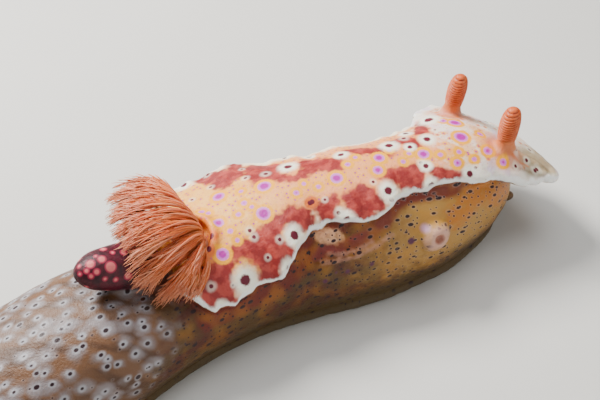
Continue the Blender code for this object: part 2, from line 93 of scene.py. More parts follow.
# Where the outlines across stand: the reach of the close ones at either end, the gap to the even
# ones between, the least share of either reach, and how many there are of each.
BODY_STATIONS = ((3, 7), 0.6, (0, 0), (8, 150, 16))
FOOT_STATIONS = ((3, 7), 0.6, (0, 0), (8, 110, 14))
MANTLE_STATIONS = ((6, 7), 0.5, (0.08, 0.04), (12, 150, 30))
RIM_STATIONS = ((6, 7), 0, (0.02, 0.02), (60, 500, 220))
# How many points an outline has on each side: under the body, up its flank, over its back, and on
# the mantle. The last is how many sides a round stalk has.
SOLE_STEPS = 5
FLANK_STEPS = 7
BACK_STEPS = 25
MANTLE_STEPS = 22
ROUND_SIDES = 28

# Profiles, each a few (along, size) pairs that a smooth curve joins.
FOOT_HALF = ((-60, 0.8), (-56, 4.6), (-48, 9.0), (-36, 12.4), (-24, 11.8), (-10, 10.0), (0, 10.4),
             (12, 11.8), (24, 12.4), (34, 11.2), (42, 9.2), (47, 8.0), (52, 7.0))
FLANK_HALF = ((-60, 0.6), (-56, 4.4), (-48, 9.0), (-36, 12.3), (-24, 12.3), (-10, 11.2), (0, 11.4),
              (12, 12.2), (24, 12.8), (34, 12.0), (42, 10.3), (47, 9.2), (55, 8.4))
FLANK_UP = ((-60, 2.6), (-48, 4.0), (-30, 5.4), (0, 7.5), (30, 8.5), (55, 7.6))
BODY_CROWN = ((-60, 3.2), (-56, 6.8), (-48, 11.3), (-36, 15.1), (-24, 16.6), (-14, 15.4), (-6, 15.6),
              (4, 17.6), (14, 18.9), (26, 19.4), (36, 19.2), (43, 18.0), (49, 15.6), (55, 11.0))
MANTLE_CROWN = ((-17, 16.0), (-10, 18.0), (-4, 19.0), (4, 20.4), (14, 21.5), (26, 22.0), (36, 22.0),
                (43, 21.4), (49, 19.2), (54, 16.2), (58.8, 12.6))
RIM_RIGHT = ((-17, 4.8), (-13, 5.4), (-11, 7.4), (-9.6, 9.7), (-8, 10.8), (-5, 10.9), (-2, 10.6),
             (1, 10.7), (4.5, 11.3), (8, 10.1), (11, 8.0), (13.2, 7.2), (16, 7.8), (20, 9.2),
             (22.5, 9.6), (24.5, 9.1), (26.5, 8.0), (30, 7.1), (34, 7.2), (40, 8.5), (43, 9.4),
             (46, 11.0), (52, 12.3), (55.6, 12.9), (56.6, 11.3), (57.4, 8.4), (58.2, 5.0), (58.8, 0.8))
RIM_LEFT = ((-17, 4.8), (-13, 5.6), (-11, 7.8), (-9, 11.4), (-7, 12.8), (-2, 13.6), (5, 13.0),
            (9, 11.6), (12.5, 9.8), (16, 9.0), (20, 8.5), (24, 8.0), (28, 7.5), (32, 7.6), (36, 8.1),
            (40, 9.4), (43, 11.4), (45.7, 12.5), (48.6, 13.0), (50.9, 12.5), (53.3, 11.4), (55.4, 8.8),
            (57.2, 5.4), (58.8, 0.8))
RIM_RIGHT_UP = ((-17, 15.8), (-13, 16.2), (-11, 15.6), (-9.4, 14.3), (-8, 13.5), (-2, 13.4), (4, 14.6),
                (9, 17.0), (14, 18.2), (20, 18.3), (25, 18.7), (30, 19.2), (34, 19.2), (42, 17.8),
                (48, 15.2), (54, 12.8), (58.8, 12.0))
RIM_LEFT_UP = ((-17, 15.8), (-13, 16.2), (-11, 15.8), (-9, 15.0), (-2, 15.6), (5, 16.6), (12, 17.6),
               (24, 18.2), (34, 18.2), (43, 17.0), (46, 16.5), (49, 15.6), (52, 13.4), (54, 12.0),
               (58.8, 11.6))
# The slope of the mantle from its crown down to its rim: two powers, on the right and on the left.
MANTLE_ROUND = {-1: (2.2, 0.8), 1: (1.9, 1.0)}
# How much narrower the body is on its left than on its right, near its crown.
LEFT_SHOULDER = 0.12
# The way the slug heads, in degrees to its left, at places along it.
HEADING = ((-60, 5), (-20, 4), (0, 2), (14, -8), (30, -10), (40, 0), (48, 8), (60, 9))

# Horn, gill pocket and feelers. The horn's cap starts at a share of its length.
HORN_ROOT = (-11.0, 16.4)
HORN_TIP = (-24.0, 22.0)
HORN_RADII = (4.4, 3.0)
HORN_CAP = 0.72
HORN_SIDES = 40
HORN_FOOT = (16.0, 17.4)
HORN_RADIUS = ((0, 4.4), (0.3, 3.9), (0.55, 3.4), (0.8, 2.9), (1, 2.6))
POCKET_ALONG = -7.0
POCKET_RADIUS = 4.2
POCKET_FLOOR = 17.2
POCKET_SIDES = 48
PIT_HEIGHT = 12
# The pocket's lip: how far out its middle is, half its width and half its height.
POCKET_LIP = (0.55, 0.7, 0.75)
RHINOPHORE_ALONG = 47.4
RHINOPHORE_ACROSS = 6.2
RHINOPHORE_LENGTH = 8.3
RHINOPHORE_LEAN = (4.0, -3.0)
STALK = ((-0.2, 2.9), (-0.06, 2.4), (0.04, 1.96), (0.12, 1.66), (0.24, 1.46), (0.32, 1.36), (0.36, 1.1))
CLUB = ((0.24, 1.3), (0.3, 1.5), (0.45, 1.64), (0.64, 1.68), (0.8, 1.52), (0.92, 1.14), (1.0, 0.5))
CLUB_LEAVES = (0.3, 0.95)
CLUB_SLANT = 1.15
CLUB_SIDES = 40
RIDGES = 13
RIDGE_STEPS = 12
RIDGE_DEPTH = 0.13
PAPILLA = (32.2, 12.4)
PAPILLA_SUNK = 0.6
PAPILLA_WAY = (0.05, -0.93, 0.36)
PAPILLA_SHAPE = ((-3, 2.6), (0.0, 2.6), (0.6, 2.35), (1.2, 2.1), (1.7, 1.6), (1.95, 1.1), (1.7, 0.75),
                 (1.0, 0.5))
TENTACLE_ROOT = (47.2, 2.9, 5.4)
TENTACLE_WAY = (0.88, 0.4, -0.2)
TENTACLE_SHAPE = ((0, 1.4), (3, 1.45), (5.0, 1.3), (6.6, 1.0), (7.5, 0.6), (7.8, 0.2))

# The gill is a fan of strands: at shares of the way across it, from the far left to the near right,
# the (along, across, up) of a strand's root, of the two places it arches towards, and of its tip.
FAN = (
    (0.0, (-6.2, 2.9, 18.4), (-3.4, 3.6, 23.4), (-4.8, 9.6, 24.8), (-11.2, 13.2, 21.6)),
    (0.15, (-5.2, 2.4, 18.4), (-3.2, 3.2, 24.0), (-6.8, 8.4, 25.6), (-13.2, 11.6, 21.8)),
    (0.32, (-4.4, 1.4, 18.4), (-3.0, 2.0, 24.6), (-9.4, 5.6, 26.4), (-15.2, 7.8, 22.0)),
    (0.48, (-4.2, 0.4, 18.4), (-3.0, 0.6, 24.4), (-10.4, 2.6, 26.8), (-16.2, 2.8, 23.0)),
    (0.62, (-4.2, -0.6, 18.4), (-3.2, -1.0, 24.0), (-10.8, -1.2, 26.6), (-16.8, -1.8, 24.0)),
    (0.74, (-4.6, -1.5, 18.4), (-3.6, -2.4, 23.6), (-11.4, -4.4, 25.0), (-17.6, -4.4, 20.2)),
    (0.86, (-5.2, -2.2, 18.2), (-4.0, -3.6, 22.8), (-10.2, -6.6, 22.4), (-15.2, -6.8, 16.8)),
    (1.0, (-6.2, -2.8, 18.2), (-4.8, -4.6, 22.0), (-7.2, -8.2, 20.2), (-10.6, -8.6, 15.6)),
)
FAN_SPLIT = 0.42
LOCK_DEPTHS = (0.0, 0.55, 0.2, 0.9)
LOCKS = 30
LOCK_STRANDS = 38
STRAND_RADIUS = 0.122
STRAND_STEPS = 14
STRAND_TAPER = ((0, 0.8), (0.3, 1.1), (0.75, 0.9), (1, 0.3))
# The forks of a strand: how many, the steps they may leave from, their least and greatest length, and
# (share of the length, radius) pairs.
FORKS = 2
FORK_FROM = (7, 12)
FORK_LENGTH = (1.8, 3.2)
FORK_SHAPE = ((0.0, 0.11), (0.35, 0.1), (0.7, 0.08), (1.0, 0.035))
STEMS = 7
STEM_RADII = (0.26, 0.05)
# The way down into the fan, from its top.
FAN_DEPTH = (0.9, 0, -2.6)
# The stump that the stems of one side grow from: its foot, and its (height, radius) pairs.
GILL_ROOT = (-6.0, 1.2, 16.8)
GILL_ROOT_SHAPE = ((0, 2.4), (1.2, 2.3), (2.0, 1.2))
# The random draws of the gill's left side and of its right.
GILL_SEEDS = {1: 49, -1: 50}

# Marks on the mantle's top: along, across and radius. The purple ones have a yellow ring.
PURPLE = (
    (1.5, 4.2, 0.82), (8, 1.5, 0.96), (5.4, -3.3, 1.02), (-1.2, -0.8, 0.69), (-3.3, -5.5, 0.84),
    (18.8, -2.2, 0.87), (26.9, -0.7, 0.77), (25.6, -3, 0.68), (44, 2.3, 1.0), (41.8, -1.5, 1.05),
    (34, -2.3, 0.78), (44.1, -5.6, 0.62), (38.2, -5.6, 0.5), (45.2, -8.2, 0.5), (42.7, 4, 0.56),
    (21.6, -0.2, 0.34), (3.8, 0.1, 0.36), (-0.5, -3.1, 0.32), (11.8, -2.3, 0.37), (2, -1.3, 0.29),
    (39.5, -4, 0.32), (41.1, -6, 0.28), (45.7, -2.1, 0.41), (4.6, 2.7, 0.25), (-2.2, 3, 0.38),
    (-1.5, 2, 0.29), (4.4, -1.3, 0.23), (-0.3, -4.8, 0.23), (30.3, -2.6, 0.27), (15.5, -2.6, 0.28),
    (13.6, -1.2, 0.24), (31.9, -1.4, 0.25), (36.4, -3.4, 0.3), (29.2, 0.4, 0.24), (23.4, 0.9, 0.26),
)
MAROON = (
    (-1.9, -9.6, 0.83), (8.5, -8.2, 0.73), (5.6, -11.1, 0.66), (-6.9, -10.8, 0.47), (17.9, -8.4, 0.6),
    (16.9, -7.3, 0.32), (25.8, -6.7, 0.66), (25.8, -7.9, 0.39), (33.2, -7.1, 0.52), (13.1, 4.1, 0.66),
    (9.5, 4.4, 0.35), (6.6, 5.4, 0.28), (-0.4, 12.9, 0.59), (1.8, 7.7, 0.28), (17.5, 5.9, 0.44),
    (21.7, 2.7, 0.51), (29.8, 1.7, 0.67), (34.5, 4.3, 0.53), (32.7, -0.1, 0.42), (36.3, 0.5, 0.6),
    (41.4, 6.2, 0.85), (39.3, -7.5, 0.53), (-7.1, -8.3, 0.34), (5.8, -7.8, 0.31), (2.1, -4.6, 0.32),
    (2.2, -5.7, 0.31), (24, -4.8, 0.25), (15.6, -4.9, 0.23), (51.3, -10.6, 0.41), (52.0, -10.5, 0.4),
    (51, -8.7, 0.35), (47.1, -9.3, 0.28), (48.6, -7.5, 0.38), (54.4, -6.7, 0.4), (39.2, 2.2, 0.24),
    (32.9, -3.7, 0.3), (33.4, -4.4, 0.42), (29, -7.3, 0.44), (36.6, -8.1, 0.24), (-1.8, 7, 0.26),
    (-4, -9.4, 0.19), (2.8, -8.8, 0.25), (40.6, -7.1, 0.27), (41.4, -9, 0.23), (1.8, -11.5, 0.25),
    (10.8, 10.7, 0.28), (7.3, 8.5, 0.21), (33.1, 2.7, 0.38), (46.5, 8.6, 0.4), (49.5, 5.2, 0.45),
    (52.6, 2.2, 0.5), (55.4, -2.4, 0.42), (-5.2, 9.6, 0.45), (3.4, 12.2, 0.34), (14.2, 8.4, 0.36),
)
LARGE_SPOT = 0.42
HEAD_GOLD = ((38.4, -3.2, 1.5), (41, -4, 1.3), (44.4, -3.4, 1.2), (46.4, -0.6, 1.2))
ORANGE_RINGED = ((13.2, -4.5, 0.4), (13.6, -4.45, 0.4), (-3.6, -2.5, 0.55), (-5, -4.1, 0.56),
                 (-6.9, -5.8, 0.25), (-4.3, -2.3, 0.24))
# Pink spots of the horn: along, across, up and radius.
HORN_SPOTS = (
    (-19.3, -2, 22.3, 0.87), (-21.7, -0.8, 23.6, 0.72), (-19.9, -0.8, 23.3, 0.64),
    (-18.9, 1, 22.9, 0.54), (-21.4, -2.2, 22.8, 0.52), (-22.6, -1.3, 23, 0.45),
    (-22.4, -2.2, 22.4, 0.45), (-23.1, 0.1, 23.1, 0.36), (-18.1, -0.2, 22.7, 0.39),
    (-20.4, 0.1, 23.7, 0.33), (-23.5, -0.9, 22.5, 0.36), (-20.7, -2.9, 21.4, 0.39),
    (-19.3, -2.9, 20.5, 0.42), (-16.7, -0.6, 22, 0.54), (-17.5, -2.8, 20.1, 0.6),
    (-22.4, 1.6, 22.6, 0.5), (-20.6, 2.4, 22.2, 0.6), (-18.2, 2.8, 21, 0.5), (-16.2, 2.6, 21, 0.45),
    (-23.8, 0.6, 21.2, 0.45), (-21.8, 2.6, 20.4, 0.5), (-19.4, 3, 19.4, 0.55), (-23.4, -1.8, 20.2, 0.4),
    (-22.2, 0.4, 19, 0.5), (-20.6, -2, 18.6, 0.5),
)
# Red-brown patches of the mantle, as corners (along, across).
PATCHES = (
    ((1, 14), (2.6, 13.5), (4.2, 11.3), (5.8, 9.8), (7.3, 13), (8, 12.6), (6.8, 8.6), (7.5, 7.4),
     (6.6, 6.3), (5, 6.8), (3.9, 5.8), (2.8, 5.6), (2.3, 7.4), (2.4, 9.1)),
    ((7.6, 8.8), (9, 8.8), (10.2, 7.6), (12.1, 6.3), (11.1, 3), (12.5, 1), (14.1, 0.4), (12.7, -0.1),
     (9.9, 1.8), (8.4, 3.1), (7.1, 2.6), (7.2, 5)),
    ((15, 3.7), (16.3, 4.3), (18.3, 3.4), (20.7, 1.7), (21.1, 0.4), (20.2, -0.5), (18.4, -0.4),
     (17, 1), (15.6, 0.7), (13.8, 0.1), (13.2, 0.9), (15.2, 2)),
    ((23, 3.7), (26.2, 2.7), (28.1, 1.5), (30.3, -0.2), (28, -0.6), (26.3, 0.8), (24.3, 1.7)),
    ((30.9, 2.8), (33, 2.8), (34.3, 1.4), (34.1, -0.7), (32.7, -1.2), (33, 0.8), (31.6, 1.7)),
    ((36.5, 4.3), (40.4, 7.6), (38.8, 4.7), (37.7, 2.3), (36.3, 2.3), (35.6, 2.8)),
    ((33.6, -5.8), (34.6, -5.3), (36, -5.9), (37.5, -6.9), (37.9, -7.8), (38.4, -8.5), (35.7, -7.7),
     (34.2, -7)),
    ((25.6, -4.4), (27.1, -3.7), (28.8, -3.8), (31.8, -3.7), (32.1, -4.7), (32.4, -5.4), (31.8, -6.1),
     (31.9, -7), (30.5, -7), (28.3, -6.8), (27.8, -5.7), (26.9, -4.9)),
    ((18.3, -5.7), (19.7, -5.4), (22.1, -4.7), (23, -5.8), (24.2, -7.8), (24.1, -8.8), (22, -8.6),
     (21, -9.9), (19.4, -9.2), (19, -8.1), (18.4, -6.7)),
    ((13.9, -5.2), (15.4, -5.3), (17.4, -5.1), (17.7, -6), (16.1, -6.2), (16.2, -7.6), (15.7, -8.1),
     (14.5, -7.8), (14.2, -6.6)),
    ((-8.8, -9.6), (-8.8, -8.2), (-7.2, -6.8), (-4.8, -5.9), (-2.4, -5.9), (-0.2, -5.4), (1.6, -6.0),
     (3.4, -5.3), (5.4, -4.8), (7.8, -4.7), (9.8, -4.4), (11.8, -5.2), (12.6, -6.3), (12.0, -7.2),
     (10.6, -7.5), (9.6, -6.9), (8.2, -6.4), (7.2, -6.3), (5.9, -6.9), (6.2, -8.2), (7.2, -9.3),
     (6.9, -10.3), (4.8, -10.1), (3.6, -11.0), (2.0, -11.1), (0.7, -10.6), (0.8, -8.5), (0.1, -7.0),
     (-2.0, -6.8), (-3.5, -7.7), (-3.8, -9.5), (-4.5, -10.8), (-6.2, -11.1), (-7.0, -10.2),
     (-8.2, -10.5)),
)
# Lines along the right flank: along, across and up.
BAND = ((9.5, -9.5, 14.6), (14.1, -10.3, 15), (17.5, -10.6, 15.1), (21.2, -10.4, 15.7),
        (24.2, -9.5, 16.7), (26, -8.1, 17.8), (28.8, -7, 18.1), (33, -7.3, 17.9), (36.9, -7.8, 17.1))
FOLD = ((12, -10.9, 13.7), (14.6, -11.4, 13.2), (17.2, -11.6, 13.2), (19.8, -11.6, 13.6),
        (22.6, -11.4, 14.3), (24.8, -11.1, 15))
# The line of the painted shade on the flank under the mantle's rear lobe.
LOBE_SHADE_LINE = ((-9, -9.8, 11), (-3.6, -10.4, 11.3), (1.7, -10.9, 11.4), (7.5, -10.6, 13.4),
              (9.9, -9.3, 15.7))
BULGE = ((13.4, -8.4, 16.9), (15.8, -9.4, 16.3))
WRINKLE = ((13.8, -10.6, 14.5), (16, -11.1, 14), (18.4, -11.2, 14.1), (21.4, -11, 14.8))
HOOD_LINE = ((44.2, -6.4), (46, -7.4), (48, -8.5), (50.4, -9.5))
# The line of a painted shade in a crease of the hood.
HOOD_CREASE = ((46.4, -9.4), (50.2, -10.7), (53, -11.8), (54.4, -11.4), (53.4, -9.3), (51.4, -6.9),
               (49.6, -5.4))
HOOD_FOLDS = (((46.5, -7.6), (50.5, -9.2), (54.6, -11.6)), ((50.5, -5.6), (53, -8), (55, -11)))
WRINKLE_SHIFT = (0, 0.3, 0.9)
FOLD_DEPTH = 0.34
WRINKLE_DEPTH = 0.24
ROLL_DEPTH = 0.1
HOOD_DEPTH = 0.3
LIP_DEPTH = 0.1
PIMPLE_DEPTH = 0.05
# Low swellings all over: height, size and the seed of their random draws.
SKIN_LUMPS = ((0.12, 3.1, 1), (0.07, 1.5, 2))
# Half widths of the band and of the painted shade under the lobe, and how far out a patch is felt.
BAND_HALF = 1.3
LOBE_SHADE_HALF = 1.9
PATCH_REACH = 9.0
# Soft purple marks of the flank: along, across, up and radius.
FLANK_MARKS = ((28, -11.9, 13.2, 0.6), (12.5, -12.1, 10.2, 0.42), (16.6, -12.2, 10.8, 0.4),
               (20.8, -12.3, 11.2, 0.4), (14.6, -12, 11.2, 0.2))
# The middle of the orange stretch below the head.
ORANGE_SIDE = ((36, -9.6, 13.6), (40.8, -8.4, 15.4), (44, -8.4, 13), (47, -7.6, 10.6))

# Colours, as on a screen, 0 to 255.
CREAM = (255, 188, 94)
PEACH = (252, 164, 106)
PALE = (255, 242, 214)
HEAD_PALE = (245, 238, 226)
HEAD_LILAC = (226, 206, 226)
# The rim's white: partly its own white edge, partly painted highlight on the rolled edge.
RIM_WHITE_AND_HIGHLIGHT = (255, 255, 250)
# Painted shade in the hood's crease.
CREASE_SHADE = (116, 84, 40)
GOLD = (196, 128, 16)
PATCH = (144, 40, 38)
PATCH_LIGHT = (180, 68, 58)
PATCH_EDGE = (226, 124, 60)
LILAC = (172, 14, 152)
LILAC_PALE = (212, 116, 206)
RING = (252, 172, 4)
SPECK = (214, 96, 130)
WINE = (96, 14, 36)
HALO = (255, 252, 232)
MOTTLE = (246, 164, 50)
ORANGE_RING = (222, 108, 40)
HOOD_SHADE = (164, 142, 102)
# The flank's own brown and olive and its belly colour, each painted darker to stand for the shade along the
# flank.
SHADED_FLANK = (76, 30, 7)
SHADED_OLIVE = (78, 52, 12)
FLANK_PALE = (186, 140, 66)
SHADED_BELLY = (78, 58, 24)
BAND_RED = (114, 32, 26)
# Painted shade: red-brown under the mantle's rear lobe and in a thin strip under its rim.
UNDER_RIM_SHADE = (104, 22, 2)
BULGE_COLOUR = (216, 160, 116)
# Painted highlight along the flank's folds and wrinkles.
FOLD_HIGHLIGHT = (176, 126, 104)
FLANK_PURPLE = (84, 34, 62)
PAPILLA_PALE = (216, 168, 152)
PAPILLA_OPENING = (136, 56, 20)
PAPILLA_LILAC = (206, 160, 206)
TAIL = (130, 120, 120)
TAIL_WHITE = (178, 178, 184)
TAIL_TAN = (108, 74, 48)
TAIL_LOW = (88, 56, 18)
TAIL_PATCH = (78, 50, 30)
DOT = (34, 6, 12)
DOT_HALO = (226, 206, 200)
GLOW = (214, 100, 14)
SIDE_ORANGE = (188, 108, 12)
HORN = (80, 2, 26)
HORN_DARK = (44, 2, 16)
HORN_SPOT = (216, 108, 106)
HORN_SPOT_EDGE = (160, 36, 66)
SOLE = (84, 68, 42)
STALK_COLOUR = (214, 118, 66)
CLUB_COLOUR = (206, 92, 42)
# Painted shade between the club's leaves.
CLUB_GROOVE_SHADE = (150, 48, 20)
CLUB_PALE = (232, 130, 72)
GILL_COLOUR = (218, 104, 40)
GILL_DEEP = (200, 82, 32)
GILL_PALE = (232, 128, 66)
# Pale pink, laid on the strands' edges as a painted glow of light through thin flesh, and on their tips.
GILL_GLOW_PINK = (240, 164, 134)
GILL_STEM = (236, 160, 122)
GILL_BLUSH = (234, 150, 118)
FLOOR_COLOUR = (214, 212, 206)
FLOOR_TINT = (202, 200, 195)

# How flesh lets light through: the share, how far red, green and blue go, and the scale in metres.
SKIN_FLESH = (0.12, (1.0, 0.45, 0.25), 0.0012)
CLUB_FLESH = (0.15, (1.0, 0.4, 0.2), 0.001)
GILL_FLESH = (0.2, (1.0, 0.4, 0.25), 0.0008)
NO_FLESH = (0.0, (1.0, 1.0, 1.0), 0.001)
# The shine of wet flesh, and of the floor.
WET = 0.35
FLOOR_SPECULAR = 0.2
# Half the floor's width, in metres.
FLOOR_HALF = 3
# How unevenly the dots of a pattern are scattered, from 0 for rows to 1.
SCATTER = 0.85
# Soft random hills repeat after this many values, which are picked by multiples of these keys.
LUMP_TABLE = 4096
LUMP_KEYS = (73856093, 19349663, 83492791)

# Camera: degrees and millimetres. Each lamp: name, place, width, watts and colour.
VIEW_AZIMUTH = -31.0
VIEW_HEIGHT = 45.0
VIEW_ANGLE = 40.0
VIEW_DISTANCE = 136.0
VIEW_TARGET = (14.439, 1.055, 14.788)
LIGHTS = (
    ("key", (-110, 230, 300), 150, 3.8, (1.0, 0.98, 0.95)),
    ("top", (60, 60, 420), 320, 1.0, (0.95, 0.97, 1.0)),
    ("near", (120, -320, 180), 300, 0.5, (1.0, 0.97, 0.94)),
)
SKY = (0.86, 0.9, 0.95)
SKY_STRENGTH = 0.2


def curve_through(pairs, at):
    """The height at each place of a smooth curve through the pairs that never overshoots them."""
    place, size = np.array(pairs, float).T
    step = np.diff(place)
    slope = np.diff(size) / step
    tangent = np.zeros_like(size)
    tangent[0], tangent[-1] = slope[0], slope[-1]
    for i in range(1, len(size) - 1):
        if slope[i - 1] * slope[i] > 0:
            before, after = 2 * step[i] + step[i - 1], step[i] + 2 * step[i - 1]
            tangent[i] = (before + after) / (before / slope[i - 1] + after / slope[i])
    at = np.clip(np.asarray(at, float), place[0], place[-1])
    i = np.clip(np.searchsorted(place, at, side="right") - 1, 0, len(step) - 1)
    t = (at - place[i]) / step[i]
    return (size[i] * (1 + 2 * t) * (1 - t) ** 2 + size[i + 1] * t * t * (3 - 2 * t)
            + step[i] * t * (1 - t) * (tangent[i] * (1 - t) - tangent[i + 1] * t))


def bent(points):
    """Points of the straight slug, carried to where they lie on the bent one."""
    points = np.asarray(points, float)
    along = np.linspace(TAIL_TIP - BEND_MARGIN, MANTLE_FRONT + BEND_MARGIN, BEND_STEPS)
    step = along[1] - along[0]
    heading = np.radians(curve_through(HEADING, along))
    middle = (heading[1:] + heading[:-1]) / 2
    x = np.concatenate([[0], np.cumsum(np.cos(middle) * step)])
    y = np.concatenate([[0], np.cumsum(np.sin(middle) * step)])
    x -= np.interp(0, along, x)
    y -= np.interp(0, along, y)
    turn = np.interp(points[:, 0], along, heading)
    return np.stack([np.interp(points[:, 0], along, x) - points[:, 1] * np.sin(turn),
                     np.interp(points[:, 0], along, y) + points[:, 1] * np.cos(turn),
                     points[:, 2]], 1)


def smooth_step(value, start, end):
    """0 before the start, 1 after the end, and an even slope in between."""
    t = np.clip((np.asarray(value, float) - start) / (end - start), 0, 1)
    return t * t * (3 - 2 * t)


def lumps(points, size, seed):
    """Soft random hills, from -1 to 1, one about every size along each direction."""
    table = np.random.default_rng(seed).uniform(-1, 1, LUMP_TABLE)
    scaled = np.asarray(points, float) / size
    cell = np.floor(scaled).astype(np.int64)
    part = smooth_step(scaled - cell, 0, 1)
    total = np.zeros(len(scaled))
    for corner in np.ndindex(2, 2, 2):
        key = (cell + corner) @ np.array(LUMP_KEYS)
        weight = np.prod(np.where(corner, part, 1 - part), axis=1)
        total += weight * table[np.mod(key, LUMP_TABLE)]
    return total


def round_end(fraction, power):
    """1 at the start of an end and 0 at its tip, round in between."""
    return (1 - np.clip(fraction, 0, 1) ** power) ** (1 / power)


def waves(along, side, table):
    """A sum of waves, each given as its height, its length, and how far the left side's is ahead."""
    return sum(height * np.sin(2 * pi * (along + side * ahead) / length) for height, length, ahead in table)


def foot_half(along):
    """How far the sole's edge is from the middle."""
    front = round_end((np.asarray(along) - FRONT_ROUNDS) / (FOOT_FRONT + 0.1 - FRONT_ROUNDS), FOOT_POWER)
    return curve_through(FOOT_HALF, along) * front


def rim_half(along, side):
    """How far the mantle's rim is from the middle, on the left (side 1) or the right (side -1)."""
    along = np.asarray(along, float)
    half = curve_through(RIM_LEFT if side > 0 else RIM_RIGHT, along)
    rear = round_end((REAR_ROUNDS - along) / (REAR_ROUNDS - MANTLE_REAR), MANTLE_POWER)
    ripple = (waves(along, side, RIM_RIPPLE) - RIM_TRIM) * smooth_step(MANTLE_FRONT - along, 2, 5)
    return half * rear * (1 + waves(along, side, RIM_WAVE) + ripple)


def rim_up(along, side):
    """The height of the mantle's rim."""
    along = np.asarray(along, float)
    return curve_through(RIM_LEFT_UP if side > 0 else RIM_RIGHT_UP, along) + waves(along, side, RIM_SWELL)


def of_either_side(across, of_side):
    """What the function gives for the left side or the right, whichever each place is on."""
    return np.where(across > 0, of_side(1), of_side(-1))


def mantle_up(along, across):
    """The height of the mantle's upper face over a point."""
    along, across = np.asarray(along, float), np.asarray(across, float)
    half = of_either_side(across, lambda side: rim_half(along, side))
    edge = of_either_side(across, lambda side: rim_up(along, side))
    share = np.clip(np.abs(across) / np.maximum(half, 1e-6), 0, 1)
    first, second = (of_either_side(across, lambda side: MANTLE_ROUND[side][i]) for i in (0, 1))
    return edge + (curve_through(MANTLE_CROWN, along) - edge) * (1 - share ** first) ** second


def mesh_object(name, points, faces):
    """A new object of the scene."""
    mesh = bpy.data.meshes.new(name)
    mesh.from_pydata([tuple(p) for p in points], [], faces)
    mesh.update()
    made = bpy.data.objects.new(name, mesh)
    bpy.context.scene.collection.objects.link(made)
    return made


def joined(name, shells):
    """One mesh object of several closed surfaces."""
    points, faces = [], []
    for more_points, more_faces in shells:
        start = len(points)
        points += [tuple(p) for p in more_points]
        faces += [tuple(start + i for i in face) for face in more_faces]
    return mesh_object(name, points, faces)


def lofted(rings):
    """Points and faces of a closed surface through rings of as many points each."""
    count = len(rings[0])
    points = [p for ring in rings for p in ring]
    faces = [tuple(range(count))[::-1], tuple(range(len(points) - count, len(points)))]
    for i in range(len(rings) - 1):
        for j in range(count):
            k = (j + 1) % count
            faces.append((i * count + j, i * count + k, (i + 1) * count + k, (i + 1) * count + j))
    return points, faces


def stations(rear, front, reach, gap, least, counts):
    """Places along the slug, closer together within the reach of its two ends."""
    first = rear + reach[0] * np.linspace(least[0], 1, counts[0]) ** 2
    middle = np.linspace(rear + reach[0] + gap, front - reach[1] - gap, counts[1])
    last = front - reach[1] * np.linspace(1, least[1], counts[2]) ** 2
    return [float(along) for along in np.concatenate([first, middle, last])]


def body_ring(along):
    """The body's outline across at one place, from the middle of its underside round by the right."""
    snout = float(round_end((along - FRONT_ROUNDS) / (SNOUT_TIP + 0.1 - FRONT_ROUNDS), SNOUT_POWER))
    flank = float(curve_through(FLANK_HALF, along)) * snout
    base = max(min(float(foot_half(along)) - FOOT_EDGE, flank - 0.2), flank * 0.75)
    bottom = FOOT_THICKNESS - FOOT_OVERLAP
    widest = max(float(curve_through(FLANK_UP, along)), bottom + 0.2)
    crown = widest + (float(curve_through(BODY_CROWN, along)) - widest) * snout ** 0.5
    halves = []
    for shoulder in (0.0, LEFT_SHOULDER):
        side = [(base * share, bottom) for share in np.linspace(0, 0.95, SOLE_STEPS)]
        for t in np.linspace(0, 0.9, FLANK_STEPS):
            side.append((base + (flank - base) * sin(t * pi / 2), bottom + (widest - bottom) * t))
        for turn in np.linspace(0, pi / 2, BACK_STEPS):
            across = flank * max(cos(turn), 0.0) ** 0.8 * (1 - shoulder * sin(turn))
            side.append((across, widest + (crown - widest) * sin(turn) ** 0.9))
        halves.append(side)
    right = [(along, -across, up) for across, up in halves[0]]
    return right + [(along, across, up) for across, up in halves[1][-2:0:-1]]


def mantle_ring(along):
    """The mantle's outline across: over the top from right to left, round the rim, and back below."""
    shares = 1 - (1 - np.linspace(0, 1, MANTLE_STEPS)) ** 1.6
    top, below = {}, {}
    for side in (-1, 1):
        half = max(float(rim_half(along, side)), 0.5)
        edge = float(rim_up(along, side))
        inner = half - RIM_ROUND
        top[side] = [(along, side * inner * s, float(mantle_up(along, side * inner * s))) for s in shares]
        top[side] += [(along, side * half, edge - RIM_ROUND), (along, side * half, edge - RIM_LOW)]
        low = edge - RIM_THICKNESS
        below[side] = [(along, side * half * share, low - drop) for share, drop in RIM_BELOW]
    return top[-1][::-1] + top[1][1:] + below[1] + below[-1][::-1]


def foot_ring(along):
    """The foot's outline across, with a slightly wavy edge."""
    wave = FOOT_WAVE * sin(along / FOOT_WAVE_LENGTH) * smooth_step(along, *FOOT_WAVE_FROM)
    half = max(float(foot_half(along)), 0.8) + wave
    half = min(half, float(foot_half(along)) + FOOT_SLACK) if along > FOOT_KEPT_FROM else half
    side = [(half * 0.5, 0), (half - min(0.6, half / 2), 0), (half - 0.1, 0.35), (half, 0.8),
            (half - 0.2, 1.4), (half - FOOT_EDGE, FOOT_THICKNESS)]
    right = [(along, -across, up) for across, up in side]
    left = [(along, across, up) for across, up in side[::-1]]
    return right + [(along, 0, FOOT_THICKNESS)] + left + [(along, 0, 0)]


def frame_of(axis, hint=(0, 1, 0)):
    """Two directions square to the axis and to each other, the first as near the hint as may be."""
    axis = Vector(axis).normalized()
    first = (Vector(hint) - axis * Vector(hint).dot(axis)).normalized()
    return first, axis.cross(first)


def ring_round(centre, axis, radius, sides, hint=(0, 1, 0)):
    """Points on a circle round an axis."""
    first, second = frame_of(axis, hint)
    turns = [2 * pi * i / sides for i in range(sides)]
    return [centre + first * (radius * cos(t)) + second * (radius * sin(t)) for t in turns]


